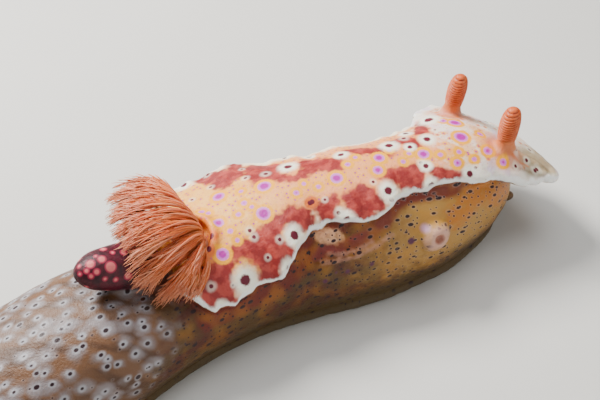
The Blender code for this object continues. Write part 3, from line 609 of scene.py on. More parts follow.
def turned_rings(root, axis, profile, sides, steps):
    """Rings round an axis, along a smooth curve through the profile's (height, radius) pairs."""
    root, axis = Vector(root), Vector(axis).normalized()
    heights = np.linspace(profile[0][0], profile[-1][0], steps)
    radii = curve_through(profile, heights)
    return [ring_round(root + axis * float(h), axis, float(r), sides) for h, r in zip(heights, radii)]


def horn_line():
    """The root of the horn, and the way from there to its tip."""
    root, tip = (Vector((along, 0, up)) for along, up in (HORN_ROOT, HORN_TIP))
    return root, tip - root


def horn_rings():
    """The horn's outlines, round at its tip."""
    root, way = horn_line()
    axis = way.normalized()
    cap = 1 - HORN_CAP
    rings = []
    close = 1 - cap * np.linspace(0.92, 0, 14) ** 1.8
    for t in np.concatenate([np.linspace(0, HORN_CAP, 12), close]):
        radius = float(curve_through(HORN_RADIUS, t) * round_end((t - HORN_CAP) / cap, 2))
        rings.append(ring_round(root + axis * (way.length * t), axis, max(radius, 0.15), HORN_SIDES))
    return rings


def pocket_rim(sides=POCKET_SIDES, tube=10):
    """The swollen rim of the gill pocket, as the points and faces of a ring of flesh."""
    points, faces = [], []
    up = np.array([0, 0, 1])
    out_by, half_width, half_height = POCKET_LIP
    radius = POCKET_RADIUS + out_by
    for i in range(sides):
        turn = 2 * pi * i / sides
        out = np.array([cos(turn), sin(turn), 0])
        along, across = POCKET_ALONG + radius * cos(turn), radius * sin(turn)
        centre = np.array([along, across, float(mantle_up(along, across)) + 0.05])
        for j in range(tube):
            roll = 2 * pi * j / tube
            points.append(centre + out * half_width * cos(roll) + up * (half_height * sin(roll)))
            k, m = (i + 1) % sides, (j + 1) % tube
            faces.append((i * tube + j, k * tube + j, k * tube + m, i * tube + m))
    return points, faces


def rhinophore_place(side):
    """Where a rhinophore leaves the mantle, and which way it points."""
    across = side * RHINOPHORE_ACROSS
    foot = Vector((RHINOPHORE_ALONG, across, float(mantle_up(RHINOPHORE_ALONG, across))))
    ahead, aside = (radians(angle) for angle in RHINOPHORE_LEAN)
    return foot, Vector((sin(ahead), side * sin(aside), cos(ahead))).normalized()


def papilla_place():
    """The middle of the genital papilla's foot, and the way it points."""
    along, up = PAPILLA
    across = PAPILLA_SUNK - float(curve_through(FLANK_HALF, along))
    return Vector((along, across, up)), Vector(PAPILLA_WAY).normalized()


def skin_shells():
    """The closed surfaces that the skin is wrapped round, in the straight slug."""
    body = [body_ring(along) for along in stations(TAIL_TIP, SNOUT_TIP, *BODY_STATIONS)]
    foot = [foot_ring(along) for along in stations(TAIL_TIP, FOOT_FRONT, *FOOT_STATIONS)]
    shells = [lofted(body), lofted(foot), lofted(horn_rings()), pocket_rim()]
    for side in (1, -1):
        root, axis = rhinophore_place(side)
        profile = [(share * RHINOPHORE_LENGTH, radius) for share, radius in STALK]
        shells.append(lofted(turned_rings(root, axis, profile, ROUND_SIDES, 16)))
        along, across, up = TENTACLE_ROOT
        way = (TENTACLE_WAY[0], side * TENTACLE_WAY[1], TENTACLE_WAY[2])
        shells.append(lofted(turned_rings((along, side * across, up), way, TENTACLE_SHAPE, 20, 24)))
    centre, way = papilla_place()
    shells.append(lofted([ring_round(centre + way * h, way, r, ROUND_SIDES) for h, r in PAPILLA_SHAPE]))
    return shells


def settle(target):
    """Puts what the object's modifiers make in place of its mesh."""
    graph = bpy.context.evaluated_depsgraph_get()
    made = bpy.data.meshes.new_from_object(target.evaluated_get(graph))
    target.modifiers.clear()
    target.data = made


def mantle_shell():
    """The mantle's closed surface, with the gill pocket cut into it."""
    rings = [mantle_ring(along) for along in stations(MANTLE_REAR, MANTLE_FRONT, *MANTLE_STATIONS)]
    mantle = joined("mantle", [lofted(rings)])
    pit = joined("pit", [lofted([
        ring_round(Vector((POCKET_ALONG, 0, up)), (0, 0, 1), POCKET_RADIUS, POCKET_SIDES)
        for up in (POCKET_FLOOR, POCKET_FLOOR + PIT_HEIGHT)])])
    change = mantle.modifiers.new("pocket", "BOOLEAN")
    change.operation = "DIFFERENCE"
    change.solver = "MANIFOLD"
    change.object = pit
    settle(mantle)
    shell = places_of(mantle.data), [tuple(face.vertices) for face in mantle.data.polygons]
    for spare in (pit, mantle):
        bpy.data.objects.remove(spare, do_unlink=True)
    return shell


def skin_object():
    """The seamless skin, still straight and in millimetres."""
    skin = joined("skin", [*skin_shells(), mantle_shell()])
    wrap = skin.modifiers.new("wrap", "REMESH")
    wrap.mode = "VOXEL"
    wrap.voxel_size = VOXEL
    settle(skin)
    keep_largest_part(skin.data)
    return skin


def read_points(items, name, width=3, kind=float):
    """One property of every item of a mesh, as rows of numbers."""
    values = np.zeros(len(items) * width, kind)
    items.foreach_get(name, values)
    return values.reshape(-1, width)


def places_of(mesh):
    """The places of a mesh's points."""
    return read_points(mesh.vertices, "co")


def set_places(mesh, places):
    """Moves a mesh's points to these places."""
    mesh.vertices.foreach_set("co", np.ascontiguousarray(places, float).ravel())
    mesh.update()


def edges_of(mesh):
    """The two points of each edge of a mesh."""
    return read_points(mesh.edges, "vertices", 2, np.int64)


def smoothed(places, ends, rounds, share):
    """Each point moved towards the middle of its neighbours, the given share of the way, and again."""
    count = np.bincount(ends.ravel(), minlength=len(places))[:, None]
    for _ in range(rounds):
        total = np.zeros_like(places)
        np.add.at(total, ends[:, 0], places[ends[:, 1]])
        np.add.at(total, ends[:, 1], places[ends[:, 0]])
        places = places * (1 - share) + total / np.maximum(count, 1) * share
    return places


def keep_largest_part(mesh):
    """Removes every loose surface of the mesh but the one with the most points."""
    ends = edges_of(mesh)
    label, before = np.arange(len(mesh.vertices)), None
    while before is None or (label != before).any():
        before = label.copy()
        lowest = np.minimum(label[ends[:, 0]], label[ends[:, 1]])
        np.minimum.at(label, ends[:, 0], lowest)
        np.minimum.at(label, ends[:, 1], lowest)
        label = label[label]
    kept = label == np.argmax(np.bincount(label))
    index = np.cumsum(kept) - 1
    places = places_of(mesh)[kept]
    faces = [tuple(int(index[i]) for i in face.vertices) for face in mesh.polygons if kept[face.vertices[0]]]
    mesh.clear_geometry()
    mesh.from_pydata([tuple(p) for p in places], [], faces)
    mesh.update()


def line_distance(points, line):
    """How far each point is from a line through the given places."""
    line = np.array(line, float)
    best = np.full(len(points), np.inf)
    for start, end in zip(line, line[1:]):
        way = end - start
        t = np.clip((points - start) @ way / (way @ way), 0, 1)
        best = np.minimum(best, np.linalg.norm(points - start - t[:, None] * way, axis=1))
    return best


def near_line(points, line, width):
    """1 on the line, and less and less away from it, over about the width."""
    return np.exp(-(line_distance(points, line) / width) ** 2)


def inside_polygon(points, corners):
    """How far each point is inside the polygon's edge, and below 0 outside it."""
    corners = np.array(corners, float)
    inside = np.zeros(len(points), bool)
    for (x0, y0), (x1, y1) in zip(corners, np.roll(corners, -1, axis=0)):
        if y0 == y1:
            continue
        crosses = (y0 > points[:, 1]) != (y1 > points[:, 1])
        inside ^= crosses & (points[:, 0] < (x1 - x0) * (points[:, 1] - y0) / (y1 - y0) + x0)
    edge = line_distance(points, np.vstack([corners, corners[:1]]))
    return np.where(inside, edge, -edge)


def rim_distance(places):
    """How far each point is inside the mantle's rim, over its top, and below 0 under or outside it."""
    along = stations(MANTLE_REAR, MANTLE_FRONT, *RIM_STATIONS)
    middle = RIM_THICKNESS / 2
    tree = KDTree(2 * len(along))
    for side in (-1, 1):
        for i, (a, half, edge) in enumerate(zip(along, rim_half(along, side), rim_up(along, side))):
            tree.insert((a, side * half, edge - middle), i)
    tree.balance()
    near = np.array([tree.find(p)[2] for p in places])
    u, v, z = places.T
    half = of_either_side(v, lambda side: rim_half(u, side))
    edge = of_either_side(v, lambda side: rim_up(u, side))
    above = np.clip((z - edge + middle) / 0.35, -1, 1)
    over = (np.abs(v) < half + 0.6) & (u > MANTLE_REAR - 0.6) & (u < MANTLE_FRONT + 0.6)
    return near * np.where(over, above, -1)


def horn_share(places):
    """1 on the horn, 0 away from it."""
    root, way = (np.array(v) for v in horn_line())
    t = (places - root) @ way / (way @ way)
    away = np.linalg.norm(places - root - np.clip(t, 0, 1)[:, None] * way, axis=1)
    near = 1 - smooth_step(away, HORN_RADII[0] + 0.1, HORN_RADII[0] + 1.1)
    clear = smooth_step(places[:, 2] + 0.35 * (places[:, 0] + 17), *HORN_FOOT)
    return smooth_step(t, 0.2, 0.36) * near * clear


def feeler_share(places):
    """How far up a rhinophore each point is: 0 on the mantle, 1 at the top of the stalk."""
    share = np.zeros(len(places))
    for foot, axis in (rhinophore_place(1), rhinophore_place(-1)):
        rel = places - np.array(foot)
        height = rel @ np.array(axis)
        away = np.linalg.norm(rel - height[:, None] * np.array(axis), axis=1)
        share = np.maximum(share, (1 - smooth_step(away, 2.4, 3.8)) * smooth_step(height, -0.4, 2.0))
    return share


def relief(places, rim):
    """How far each point of the skin is raised, in millimetres: folds, rolls, wrinkles and pimples."""
    u, v, z = places.T
    on_top = smooth_step(rim, 0.4, 1.6)
    off_top = smooth_step(-rim, 0.4, 1.8)
    raised = sum(height * lumps(places, size, seed) for height, size, seed in SKIN_LUMPS)
    raised *= 0.4 + 0.6 * off_top
    for line, depth in ((FOLD, FOLD_DEPTH), (WRINKLE, WRINKLE_DEPTH)):
        valley = np.array(line) + WRINKLE_SHIFT
        raised += depth * off_top * (near_line(places, line, 0.5) - near_line(places, valley, 0.6))
    right = smooth_step(-v, 2, 6) * smooth_step(u, 8, 14) * smooth_step(44 - u, 0, 6)
    raised += ROLL_DEPTH * np.sin((u + 0.5 * z) / 1.35 + 1.5 * lumps(places, 6, 3)) * off_top * right
    for line in HOOD_FOLDS:
        raised -= HOOD_DEPTH * near_line(places[:, :2], line, 0.45) * on_top
    lip = np.exp(-((rim - 1.0) / 0.5) ** 2) * (rim > 0)
    raised += LIP_DEPTH * lip * (1 + lumps(places, 0.9, 4))
    raised += PIMPLE_DEPTH * on_top * lumps(places, 0.9, 5)
    return raised * (0.15 + 0.85 * smooth_step(z, 1.5, 6))


def unrolled(places):
    """Places unrolled round the body: along, and the way round from the ridge of the back."""
    u, v, z = places.T
    radius = np.maximum(curve_through(FLANK_HALF, u), 1.5)
    return u, np.arctan2(v, z - curve_through(FLANK_UP, u)) * radius


def painted_places(places, rim):
    """Places on the clean slug, so that a mark keeps its size where the skin is raised."""
    u, v, z = places.T
    clean = mantle_up(u, v)
    on_top = (rim > 0) & (np.abs(z - clean) < 1.5)
    return u, v, np.where(on_top, clean, z)


def on_surface(places, normals, spot):
    """The spot, moved straight onto the skin."""
    spot = np.array(spot, float)
    nearest = np.argmin(np.linalg.norm(places - spot, axis=1))
    normal = normals[nearest] / np.linalg.norm(normals[nearest])
    return Vector(spot + normal * ((places[nearest] - spot) @ normal))


def smooth_skin(mesh):
    """Evens out the steps of the remesh, most of all under the rim."""
    ends = edges_of(mesh)
    places = places_of(mesh)
    for _ in range(5):
        places = smoothed(places, ends, 1, 0.6)
        places = smoothed(places, ends, 1, -0.56)
    places = smoothed(places, ends, 1, 0.5)
    rim = rim_distance(places)
    under = smooth_step(-rim, 0.1, 0.7) * smooth_step(rim, -4.0, -2.5) * smooth_step(46 - places[:, 0], 0, 4)
    under = under[:, None] * (places[:, 2:] > 6)
    places += under * (smoothed(places, ends, 14, 0.6) - places)
    set_places(mesh, places)
    return places, rim


def add_attribute(mesh, name, columns):
    """Keeps three numbers a point under a name that the shader reads."""
    made = mesh.attributes.new(name, "FLOAT_VECTOR", "POINT")
    made.data.foreach_set("vector", np.stack(columns, 1).astype(float).ravel())


def mark_skin(mesh, places, rim):
    """Keeps at each point what the paint needs to know: where it is, and how near each mark."""
    u, around = unrolled(places)
    plan = places[:, :2]
    on_mantle = rim > 0
    patch = np.max([inside_polygon(plan, corners) for corners in PATCHES], axis=0)
    patch = np.where(on_mantle, np.maximum(patch, -PATCH_REACH), -PATCH_REACH)
    to_feeler = np.min([np.linalg.norm(places - np.array(rhinophore_place(side)[0]), axis=1)
                        for side in (1, -1)], axis=0)
    to_pocket = np.hypot(u - POCKET_ALONG, places[:, 1])
    glow = 1 - np.minimum(smooth_step(to_feeler, 2.4, 5.6), smooth_step(to_pocket, 4.6, 7.4))
    orange = 1 - smooth_step(line_distance(places, ORANGE_SIDE), 1.0, 3.6)
    bulge = 1 - smooth_step(line_distance(places, BULGE), 0.4, 1.9)
    # How near a point is to the painted highlight of the folds and wrinkles.
    fold_highlight = np.maximum(near_line(places, FOLD, 0.4), near_line(places, WRINKLE, 0.4))
    hood = 1 - smooth_step(line_distance(plan, HOOD_LINE), 0.1, 0.55)
    corner = smooth_step(u, 46.5, 50.5) * smooth_step(-places[:, 1], 4, 7.5) * smooth_step(rim, 0.8, 1.8)
    # Where the painted shade of the hood's crease lies.
    crease_shade = near_line(plan, HOOD_CREASE, 0.24)
    add_attribute(mesh, "place", painted_places(places, rim))
    add_attribute(mesh, "wrap", [u, around, rim])
    # The third mark is how deep a point lies in the painted shade under the lobe.
    add_attribute(mesh, "marks", [patch, BAND_HALF - line_distance(places, BAND),
                                  LOBE_SHADE_HALF - line_distance(places, LOBE_SHADE_LINE)])
    add_attribute(mesh, "zones", [horn_share(places), orange, glow])
    add_attribute(mesh, "parts", [feeler_share(places), fold_highlight, bulge])
    add_attribute(mesh, "front", [hood * on_mantle, corner, crease_shade * on_mantle])


def dress_skin():
    """The skin, shaped, marked, bent and painted."""
    skin = skin_object()
    mesh = skin.data
    places, rim = smooth_skin(mesh)
    normals = read_points(mesh.vertices, "normal")
    mark_skin(mesh, places, rim)
    horn_spots, flank_spots = ([(on_surface(places, normals, spot[:3]), spot[3]) for spot in spots]
                               for spots in (HORN_SPOTS, FLANK_MARKS))
    lifted = places + normals * relief(places, rim)[:, None]
    lifted[:, 2] = np.maximum(lifted[:, 2], 0.02)
    set_places(mesh, bent(lifted) * MM)
    mesh.shade_smooth()
    mesh.materials.append(skin_material(horn_spots, flank_spots))
    return skin


class Value:
    """An output of a node, which can be added, subtracted and multiplied like a number."""

    def __init__(self, paint, socket):
        self.paint = paint
        self.socket = socket

    def __add__(self, other):
        return self.paint.math("ADD", self, other)

    def __sub__(self, other):
        return self.paint.math("SUBTRACT", self, other)

    def __mul__(self, other):
        return self.paint.math("MULTIPLY", self, other)

    __radd__ = __add__
    __rmul__ = __mul__


class Paint:
    """One material and the wiring of its nodes."""

    def __init__(self, name):
        self.material = bpy.data.materials.new(name)
        self.material.use_nodes = True
        self.tree = self.material.node_tree
        self.shader = self.tree.nodes["Principled BSDF"]

    def wire(self, value, socket):
        """Links a value to the socket, or sets a plain number or colour on it."""
        if isinstance(value, Value):
            self.tree.links.new(value.socket, socket)
        else:
            socket.default_value = value

    def outputs(self, kind, settings, inputs):
        """The outputs of a new node."""
        made = self.tree.nodes.new(kind)
        for key, value in settings.items():
            setattr(made, key, value)
        for key, value in inputs.items():
            self.wire(value, made.inputs[key])
        return made.outputs

    def node(self, kind, settings, inputs, output=0):
        """One output of a new node, as a value."""
        return Value(self, self.outputs(kind, settings, inputs)[output])

    def attribute(self, name):
        """Three numbers kept at each point."""
        return self.node("ShaderNodeAttribute", {"attribute_name": name}, {}, "Vector")

    def object_place(self):
        """The place on the piece, in metres."""
        return self.node("ShaderNodeTexCoord", {}, {}, "Object")

    def parts(self, vector):
        """The three numbers of a vector or a colour."""
        return [Value(self, part) for part in self.outputs("ShaderNodeSeparateXYZ", {}, {0: vector})]

    def join(self, x, y, z=0.0):
        """A vector of three numbers."""
        return self.node("ShaderNodeCombineXYZ", {}, {0: x, 1: y, 2: z})

    def math(self, operation, a, b):
        """Two values put together, as the operation says."""
        return self.node("ShaderNodeMath", {"operation": operation}, {0: a, 1: b})

    def ramp(self, value, start, end):
        """0 where the value is at the start or before it, 1 at the end or past it, smooth in between."""
        inputs = {"Value": value, "From Min": start, "From Max": end, "To Min": 0.0, "To Max": 1.0}
        return self.node("ShaderNodeMapRange", {"interpolation_type": "SMOOTHSTEP"}, inputs)

    def mix(self, share, low, high):
        """The low colour where the share is 0, and the high one where it is 1."""
        low, high = (colour if isinstance(colour, Value) else screen(colour) for colour in (low, high))
        return self.node("ShaderNodeMix", {"data_type": "RGBA"}, {0: share, 6: low, 7: high}, 2)

    def layered(self, colour, *coats):
        """The colour under coats of (share, colour) that are laid over it one after another."""
        for share, coat in coats:
            colour = self.mix(share, colour, coat)
        return colour

    def noise(self, place, scale, detail):
        """Soft noise, from 0 to 1."""
        return self.node("ShaderNodeTexNoise", {}, {"Vector": place, "Scale": scale, "Detail": detail})

    def waver(self, place, scale, detail):
        """Soft noise round 0."""
        return self.noise(place, scale, detail) - 0.5

    def cloud(self, place, scale, detail, start, end):
        """Soft clouds, from 0 to 1."""
        return self.ramp(self.noise(place, scale, detail), start, end)

    def scattered(self, place, scale):
        """How far the nearest of the scattered points of a flat pattern is, and its random numbers."""
        inputs = {"Vector": place, "Scale": scale, "Randomness": SCATTER}
        made = self.outputs("ShaderNodeTexVoronoi", {"voronoi_dimensions": "2D", "feature": "F1"}, inputs)
        return Value(self, made["Distance"]), self.parts(Value(self, made["Color"]))

    def nearest(self, place, spots, relative=False):
        """How far the place is outside the edge of the nearest round spot, or how many of its radii."""
        best = None
        for centre, radius in spots:
            away = self.node("ShaderNodeVectorMath", {"operation": "DISTANCE"}, {0: place, 1: centre}, 1)
            edge = away - radius
            edge = self.math("DIVIDE", edge, radius) if relative else edge
            best = edge if best is None else self.math("MINIMUM", best, edge)
        return best

    def bump(self, height, distance):
        """Raises the surface as the height says, by as much as the distance in metres."""
        normal = self.node("ShaderNodeBump", {}, {"Height": height, "Distance": distance, "Strength": 1.0})
        self.wire(normal, self.shader.inputs["Normal"])

    def finish(self, colour, roughness, flesh, specular=WET):
        """The material, with the flesh's depth given as a share, a radius for each colour, and a scale."""
        share, radius, scale = flesh
        looks = {"Base Color": colour, "Roughness": roughness, "Subsurface Weight": share,
                 "Subsurface Radius": radius, "Subsurface Scale": scale, "Specular IOR Level": specular}
        for name, value in looks.items():
            self.wire(value, self.shader.inputs[name])
        return self.material


def screen(colour):
    """A colour as on a screen, 0 to 255, in the numbers that a shader takes."""
    share = np.array(colour, float) / 255
    linear = np.where(share < 0.04045, share / 12.92, ((share + 0.055) / 1.055) ** 2.4)
    return (*[float(c) for c in linear], 1.0)


def mantle_spots(marks):
    """Marks given in plan, as round spots that lie on the mantle."""
    return [(Vector((u, v, float(mantle_up(u, v)))), r) for u, v, r in marks]


def mantle_ground(paint, place, inner, head, warp):
    """The mantle's cream and peach, its paler head, and its orange clouds."""
    u, _, _ = paint.parts(place)
    peach = paint.ramp(u + 12.0 * warp, 2.0, 13.0)
    lilac = paint.cloud(place, 0.28, 2.0, 0.5, 0.64)
    warmth = paint.cloud(place, 0.36, 3.0, 0.44, 0.62)
    golden = paint.ramp(paint.nearest(place, mantle_spots(HEAD_GOLD)) + warp, 1.2, -0.8)
    return paint.layered(
        paint.mix(inner, PALE, paint.mix(peach, CREAM, PEACH)),
        (0.9 * head, HEAD_PALE),
        (0.7 * (lilac * head), HEAD_LILAC),
        (warmth * (0.35 * inner), MOTTLE),
        (0.6 * golden, MOTTLE))


def mantle_patches(paint, place, colour, inner, head, patch):
    """Over the colour: red-brown patches with soft edges, and tiny lilac dots in yellowish clouds."""
    u, v, _ = paint.parts(place)
    bare = paint.ramp(patch, -0.3, -0.9)
    near, kind = paint.scattered(paint.join(u, v), 0.85)
    shown = bare * paint.ramp(inner, 0.5, 0.8) * paint.ramp(kind[0] - 0.45 * head, 0.3, 0.32)
    finest, kind = paint.scattered(paint.join(v, u), 1.3)
    speck = paint.ramp(finest, 0.2, 0.08) * paint.ramp(kind[1], 0.3, 0.32)
    speck = speck * (bare * paint.ramp(inner, 0.5, 0.9))
    edge = patch + 1.8 * paint.waver(place, 0.8, 1.0)
    depth = paint.cloud(place, 0.7, 2.0, 0.35, 0.6)
    return paint.layered(
        colour,
        (shown * paint.ramp(near, 0.5, 0.16), MOTTLE),
        (0.55 * paint.ramp(edge, -1.2, -0.3), PATCH_EDGE),
        (paint.ramp(edge, -0.7, 0.0), paint.mix(depth, PATCH_LIGHT, PATCH)),
        (0.6 * speck, SPECK),
        (shown * paint.ramp(near, 0.18, 0.08), LILAC))


def mantle_marks(paint, place, colour, warp, fine):
    """Over the colour: purple spots in yellow rings, and wine-red spots in white or orange ones."""
    away = paint.nearest(place, mantle_spots(PURPLE)) + 0.3 * fine
    colour = paint.layered(
        colour,
        (paint.ramp(away, 0.95, 0.55), RING),
        (paint.ramp(away, 0.26, 0.0), LILAC_PALE),
        (paint.ramp(away, -0.1, -0.45), LILAC))
    for halo, least, most in ((0.4, 0.0, LARGE_SPOT), (0.95, LARGE_SPOT, inf)):
        spots = mantle_spots([mark for mark in MAROON if least <= mark[2] < most])
        dark = paint.nearest(place, spots, relative=True)
        colour = paint.layered(
            colour,
            (halo * paint.ramp(dark + warp, 2.4, 0.4), HALO),
            (paint.ramp(dark + 0.6 * fine, 0.22, -0.2), WINE))
    warm = paint.nearest(place, mantle_spots(ORANGE_RINGED))
    return paint.layered(
        colour,
        (paint.ramp(warm, 0.8, 0.3), ORANGE_RING),
        (paint.ramp(warm, 0.1, -0.08), WINE))


def mantle_colour(paint, place, rim, patch, glow, front):
    """The colour over the mantle's top."""
    u, _, _ = paint.parts(place)
    hood, corner, crease_shade = front
    warp = paint.waver(place, 1.1, 3.0)
    fine = paint.waver(place, 3.4, 3.0)
    inner = paint.ramp(rim + 3.0 * warp, 1.4, 3.8)
    head = paint.ramp(u + 14.0 * warp, 35.0, 42.0)
    colour = mantle_ground(paint, place, inner, head, warp)
    colour = mantle_patches(paint, place, colour, inner, head, patch)
    colour = paint.layered(
        colour,
        (0.85 * corner, HOOD_SHADE),
        # Painted shade along the hood's crease.
        (0.6 * crease_shade, CREASE_SHADE),
        (0.75 * hood, PATCH_EDGE),
        (0.6 * glow, GLOW))
    colour = mantle_marks(paint, place, colour, warp, fine)
    # The rim's white: partly its own white edge, partly painted highlight on the rolled edge.
    scallop = paint.waver(paint.join(u, 0.0), 0.55, 2.0)
    return paint.mix(paint.ramp(rim + 0.4 * fine + 1.5 * scallop, 1.25, 0.7), colour, RIM_WHITE_AND_HIGHLIGHT)


def with_dots(paint, colour, place, flat, scale, size, least, halo):
    """Dark dots, longer than wide, with a pale ring of the given strength round each."""
    near, (pick, spread, _) = paint.scattered(flat, scale)
    radius = size[0] + spread * size[1]
    edge = near - radius + 0.1 * paint.waver(place, 2.2, 2.0)
    shown = paint.ramp(pick, least, least + 0.02)
    return paint.layered(
        colour,
        (shown * paint.ramp(edge, 0.14, 0.01) * halo, DOT_HALO),
        (shown * paint.ramp(edge, 0.03, -0.04), DOT))


def frayed(paint, mask, fray, least, most):
    """The mask with an uneven edge, from nothing at the least value to all at the most."""
    return paint.ramp(mask + fray, least, most) * paint.ramp(mask, 0.02, 0.4)


def flank_ground(paint, place, along, around, rim, height, ahead, warp, marks):
    """The brown of the flanks, partly painted shade, and its broad reddish, pale and golden stretches, with
    painted shade under the rim and lobe and painted highlights on the folds.
    """
    band, under, orange, fold_highlight, bulge = marks
    broad = paint.cloud(paint.join(0.5 * along, around), 0.34, 3.0, 0.4, 0.6)
    gold = paint.cloud(place, 0.3, 1.0, 0.42, 0.74) * paint.ramp(height, 3.0, 9.0)
    return paint.layered(
        # The flank's own colours, painted darker as painted shade.
        paint.mix(broad, SHADED_FLANK, SHADED_OLIVE),
        (0.8 * ahead, FLANK_PALE),
        (paint.ramp(height, 7.5, 2.5), SHADED_BELLY),
        (0.9 * paint.ramp(band + 1.6 * warp, -0.5, 0.8), BAND_RED),
        # Painted shade in red-brown: under the mantle's rear lobe, and a thin strip under the rim all along.
        (0.85 * paint.ramp(under + 2.2 * warp, -0.9, 1.1), UNDER_RIM_SHADE),
        (0.7 * paint.ramp(1.8 * warp - rim, 1.9, 0.4), UNDER_RIM_SHADE),
        (0.75 * frayed(paint, bulge, 2.4 * warp, 0.0, 1.3), BULGE_COLOUR),
        (0.3 * gold, GOLD),
        (0.8 * frayed(paint, orange, 2.0 * warp, -0.1, 1.2), SIDE_ORANGE),
        # Painted highlight along the folds and wrinkles.
        (0.65 * frayed(paint, fold_highlight, 2.4 * warp, 0.0, 1.4), FOLD_HIGHLIGHT))


def flank_colour(paint, place, wrap, marks, spots):
    """The colour of the flanks below the mantle, with their dots and the genital papilla."""
    along, around, rim = paint.parts(wrap)
    warp = paint.waver(place, 0.9, 3.0)
    height = paint.parts(place)[2] + 5.0 * warp
    ahead = paint.ramp(along + 12.0 * warp, 14.0, 32.0) * paint.ramp(height, 3.0, 10.0)
    flank = flank_ground(paint, place, along, around, rim, height, ahead, warp, marks)
    lit = 0.12 * paint.math("MAXIMUM", ahead, marks[-1])
    for stretch, scale, size, least in ((0.62, 0.58, (0.08, 0.1), 0.05), (1.0, 0.82, (0.07, 0.08), 0.2)):
        flat = paint.join(stretch * along, around)
        flank = with_dots(paint, flank, place, flat, scale, size, least, lit)
    tip, mouth, lilac = papilla_marks()
    swollen = paint.nearest(place, [tip]) + 1.6 * warp
    return paint.layered(
        flank,
        (paint.ramp(paint.nearest(place, spots), 0.25, -0.25), FLANK_PURPLE),
        (0.8 * paint.ramp(swollen, 0.8, -0.9), PAPILLA_PALE),
        (0.7 * paint.ramp(paint.nearest(place, [lilac]), 0.5, -0.5), PAPILLA_LILAC),
        (paint.ramp(paint.nearest(place, [mouth]), 0.3, -0.3), PAPILLA_OPENING))


def papilla_marks():
    """The papilla's middle, its mouth and the lilac mark above it, each with its radius."""
    centre, way = papilla_place()
    return (centre + way * 1.2, 2.0), (centre + way * 1.8, 0.7), (centre + Vector((-1.6, 0.2, 2.3)), 0.7)


def tail_colour(paint, place, wrap):
    """The tail: tan, with a bluish-white cloud round each dark dot."""
    along, around, _ = paint.parts(wrap)
    warp = paint.waver(place, 0.55, 3.0)
    slant = paint.join(along + 0.9 * around, 0.5 * around)
    flat = paint.join(0.8 * along, around)
    near, (_, spread, _) = paint.scattered(flat, 0.45)
    height = paint.parts(place)[2] + 5.0 * warp
    cloud = paint.ramp(near + 0.4 * warp + 1.9 * paint.waver(slant, 0.26, 2.0), 0.7, 0.05)
    cloud = cloud * (0.25 + 0.75 * paint.ramp(height, 2.5, 8.0))
    close = 0.6 * paint.ramp(near + 0.25 * warp, 0.33, 0.1)
    tail = paint.layered(
        paint.mix(paint.cloud(slant, 0.3, 3.0, 0.46, 0.66), TAIL_TAN, TAIL_PATCH),
        (cloud, TAIL),
        (close * paint.ramp(height, 2.0, 7.0), TAIL_WHITE),
        (0.8 * paint.ramp(height, 9.0, 2.5), TAIL_LOW),
        (paint.ramp(near - (0.06 + 0.1 * spread), 0.04, -0.04), DOT))
    return with_dots(paint, tail, place, flat, 0.5, (0.04, 0.05), 0.55, 0.08)


def side_colour(paint, place, wrap, marks, spots):
    """The colour of the flanks, the tail and the foot."""
    up = paint.parts(place)[2]
    along = paint.parts(wrap)[0]
    shift = 12.0 * paint.waver(place, 0.5, 3.0) + 7.0 * paint.ramp(up, 13.0, 4.0)
    return paint.layered(
        flank_colour(paint, place, wrap, marks, spots),
        (paint.ramp(along + shift, -11.0, -19.0), tail_colour(paint, place, wrap)),
        (paint.ramp(up, 1.9, 0.9), SOLE))


def horn_colour(paint, place, spots):
    """The horn, wine-red with pink spots."""
    away = paint.nearest(place, spots)
    return paint.layered(
        paint.mix(paint.cloud(place, 0.8, 3.0, 0.35, 0.7), HORN, HORN_DARK),
        (paint.ramp(away, 0.14, -0.1), HORN_SPOT_EDGE),
        (paint.ramp(away, -0.08, -0.3), HORN_SPOT))


def skin_material(horn_spots, flank_spots):
    """The skin's paint, from the marks that are kept at its points."""
    paint = Paint("skin_paint")
    place, wrap = paint.attribute("place"), paint.attribute("wrap")
    patch, band, under = paint.parts(paint.attribute("marks"))
    horn, orange, glow = paint.parts(paint.attribute("zones"))
    stalk, fold_highlight, bulge = paint.parts(paint.attribute("parts"))
    front = paint.parts(paint.attribute("front"))
    along, _, rim = paint.parts(wrap)
    rear = paint.ramp(along + 3.0 * paint.waver(place, 0.8, 2.0), -12.6, -10.6)
    thick = 0.75 * paint.ramp(along, 42.0, 47.0)
    top = paint.ramp(rim + thick + 0.5 * paint.waver(place, 0.9, 3.0), 0.15, 0.4) * rear
    colour = paint.layered(
        side_colour(paint, place, wrap, (band, under, orange, fold_highlight, bulge), flank_spots),
        (top, mantle_colour(paint, place, rim, patch, glow, front)),
        (horn, horn_colour(paint, place, horn_spots)),
        (stalk, STALK_COLOUR))
    paint.bump(paint.noise(place, 2.6, 3.0) + 0.4 * paint.noise(place, 7.0, 2.0), 0.00009)
    return paint.finish(colour, 0.4 + 0.16 * paint.noise(place, 2.0, 3.0), SKIN_FLESH)


def club_rings():
    """For each ring of a club: how far up it is, its radius, its slant, and how near a leaf's edge."""
    first, last = CLUB_LEAVES
    radius = partial(curve_through, CLUB)
    rings = [(share, float(radius(share)), 0.0, 0.6) for share in np.linspace(CLUB[0][0], first, 6)]
    steps = RIDGES * RIDGE_STEPS
    for i in range(steps + 1):
        share = first + (last - first) * i / steps
        leaf = abs(sin(pi * ((i / RIDGE_STEPS) % 1.0))) ** 0.45
        slant = CLUB_SLANT * min(1.0, (share - 0.26) * 7, (1.0 - share) * 7)
        rings.append((share, float(radius(share)) * (1 - RIDGE_DEPTH * (1 - leaf)), slant, leaf))
    rings += [(share, float(radius(share)), 0.1, 1.0) for share in (0.965, 0.98, 0.992)]
    return rings + [(1.0, 0.2, 0.0, 1.0)]


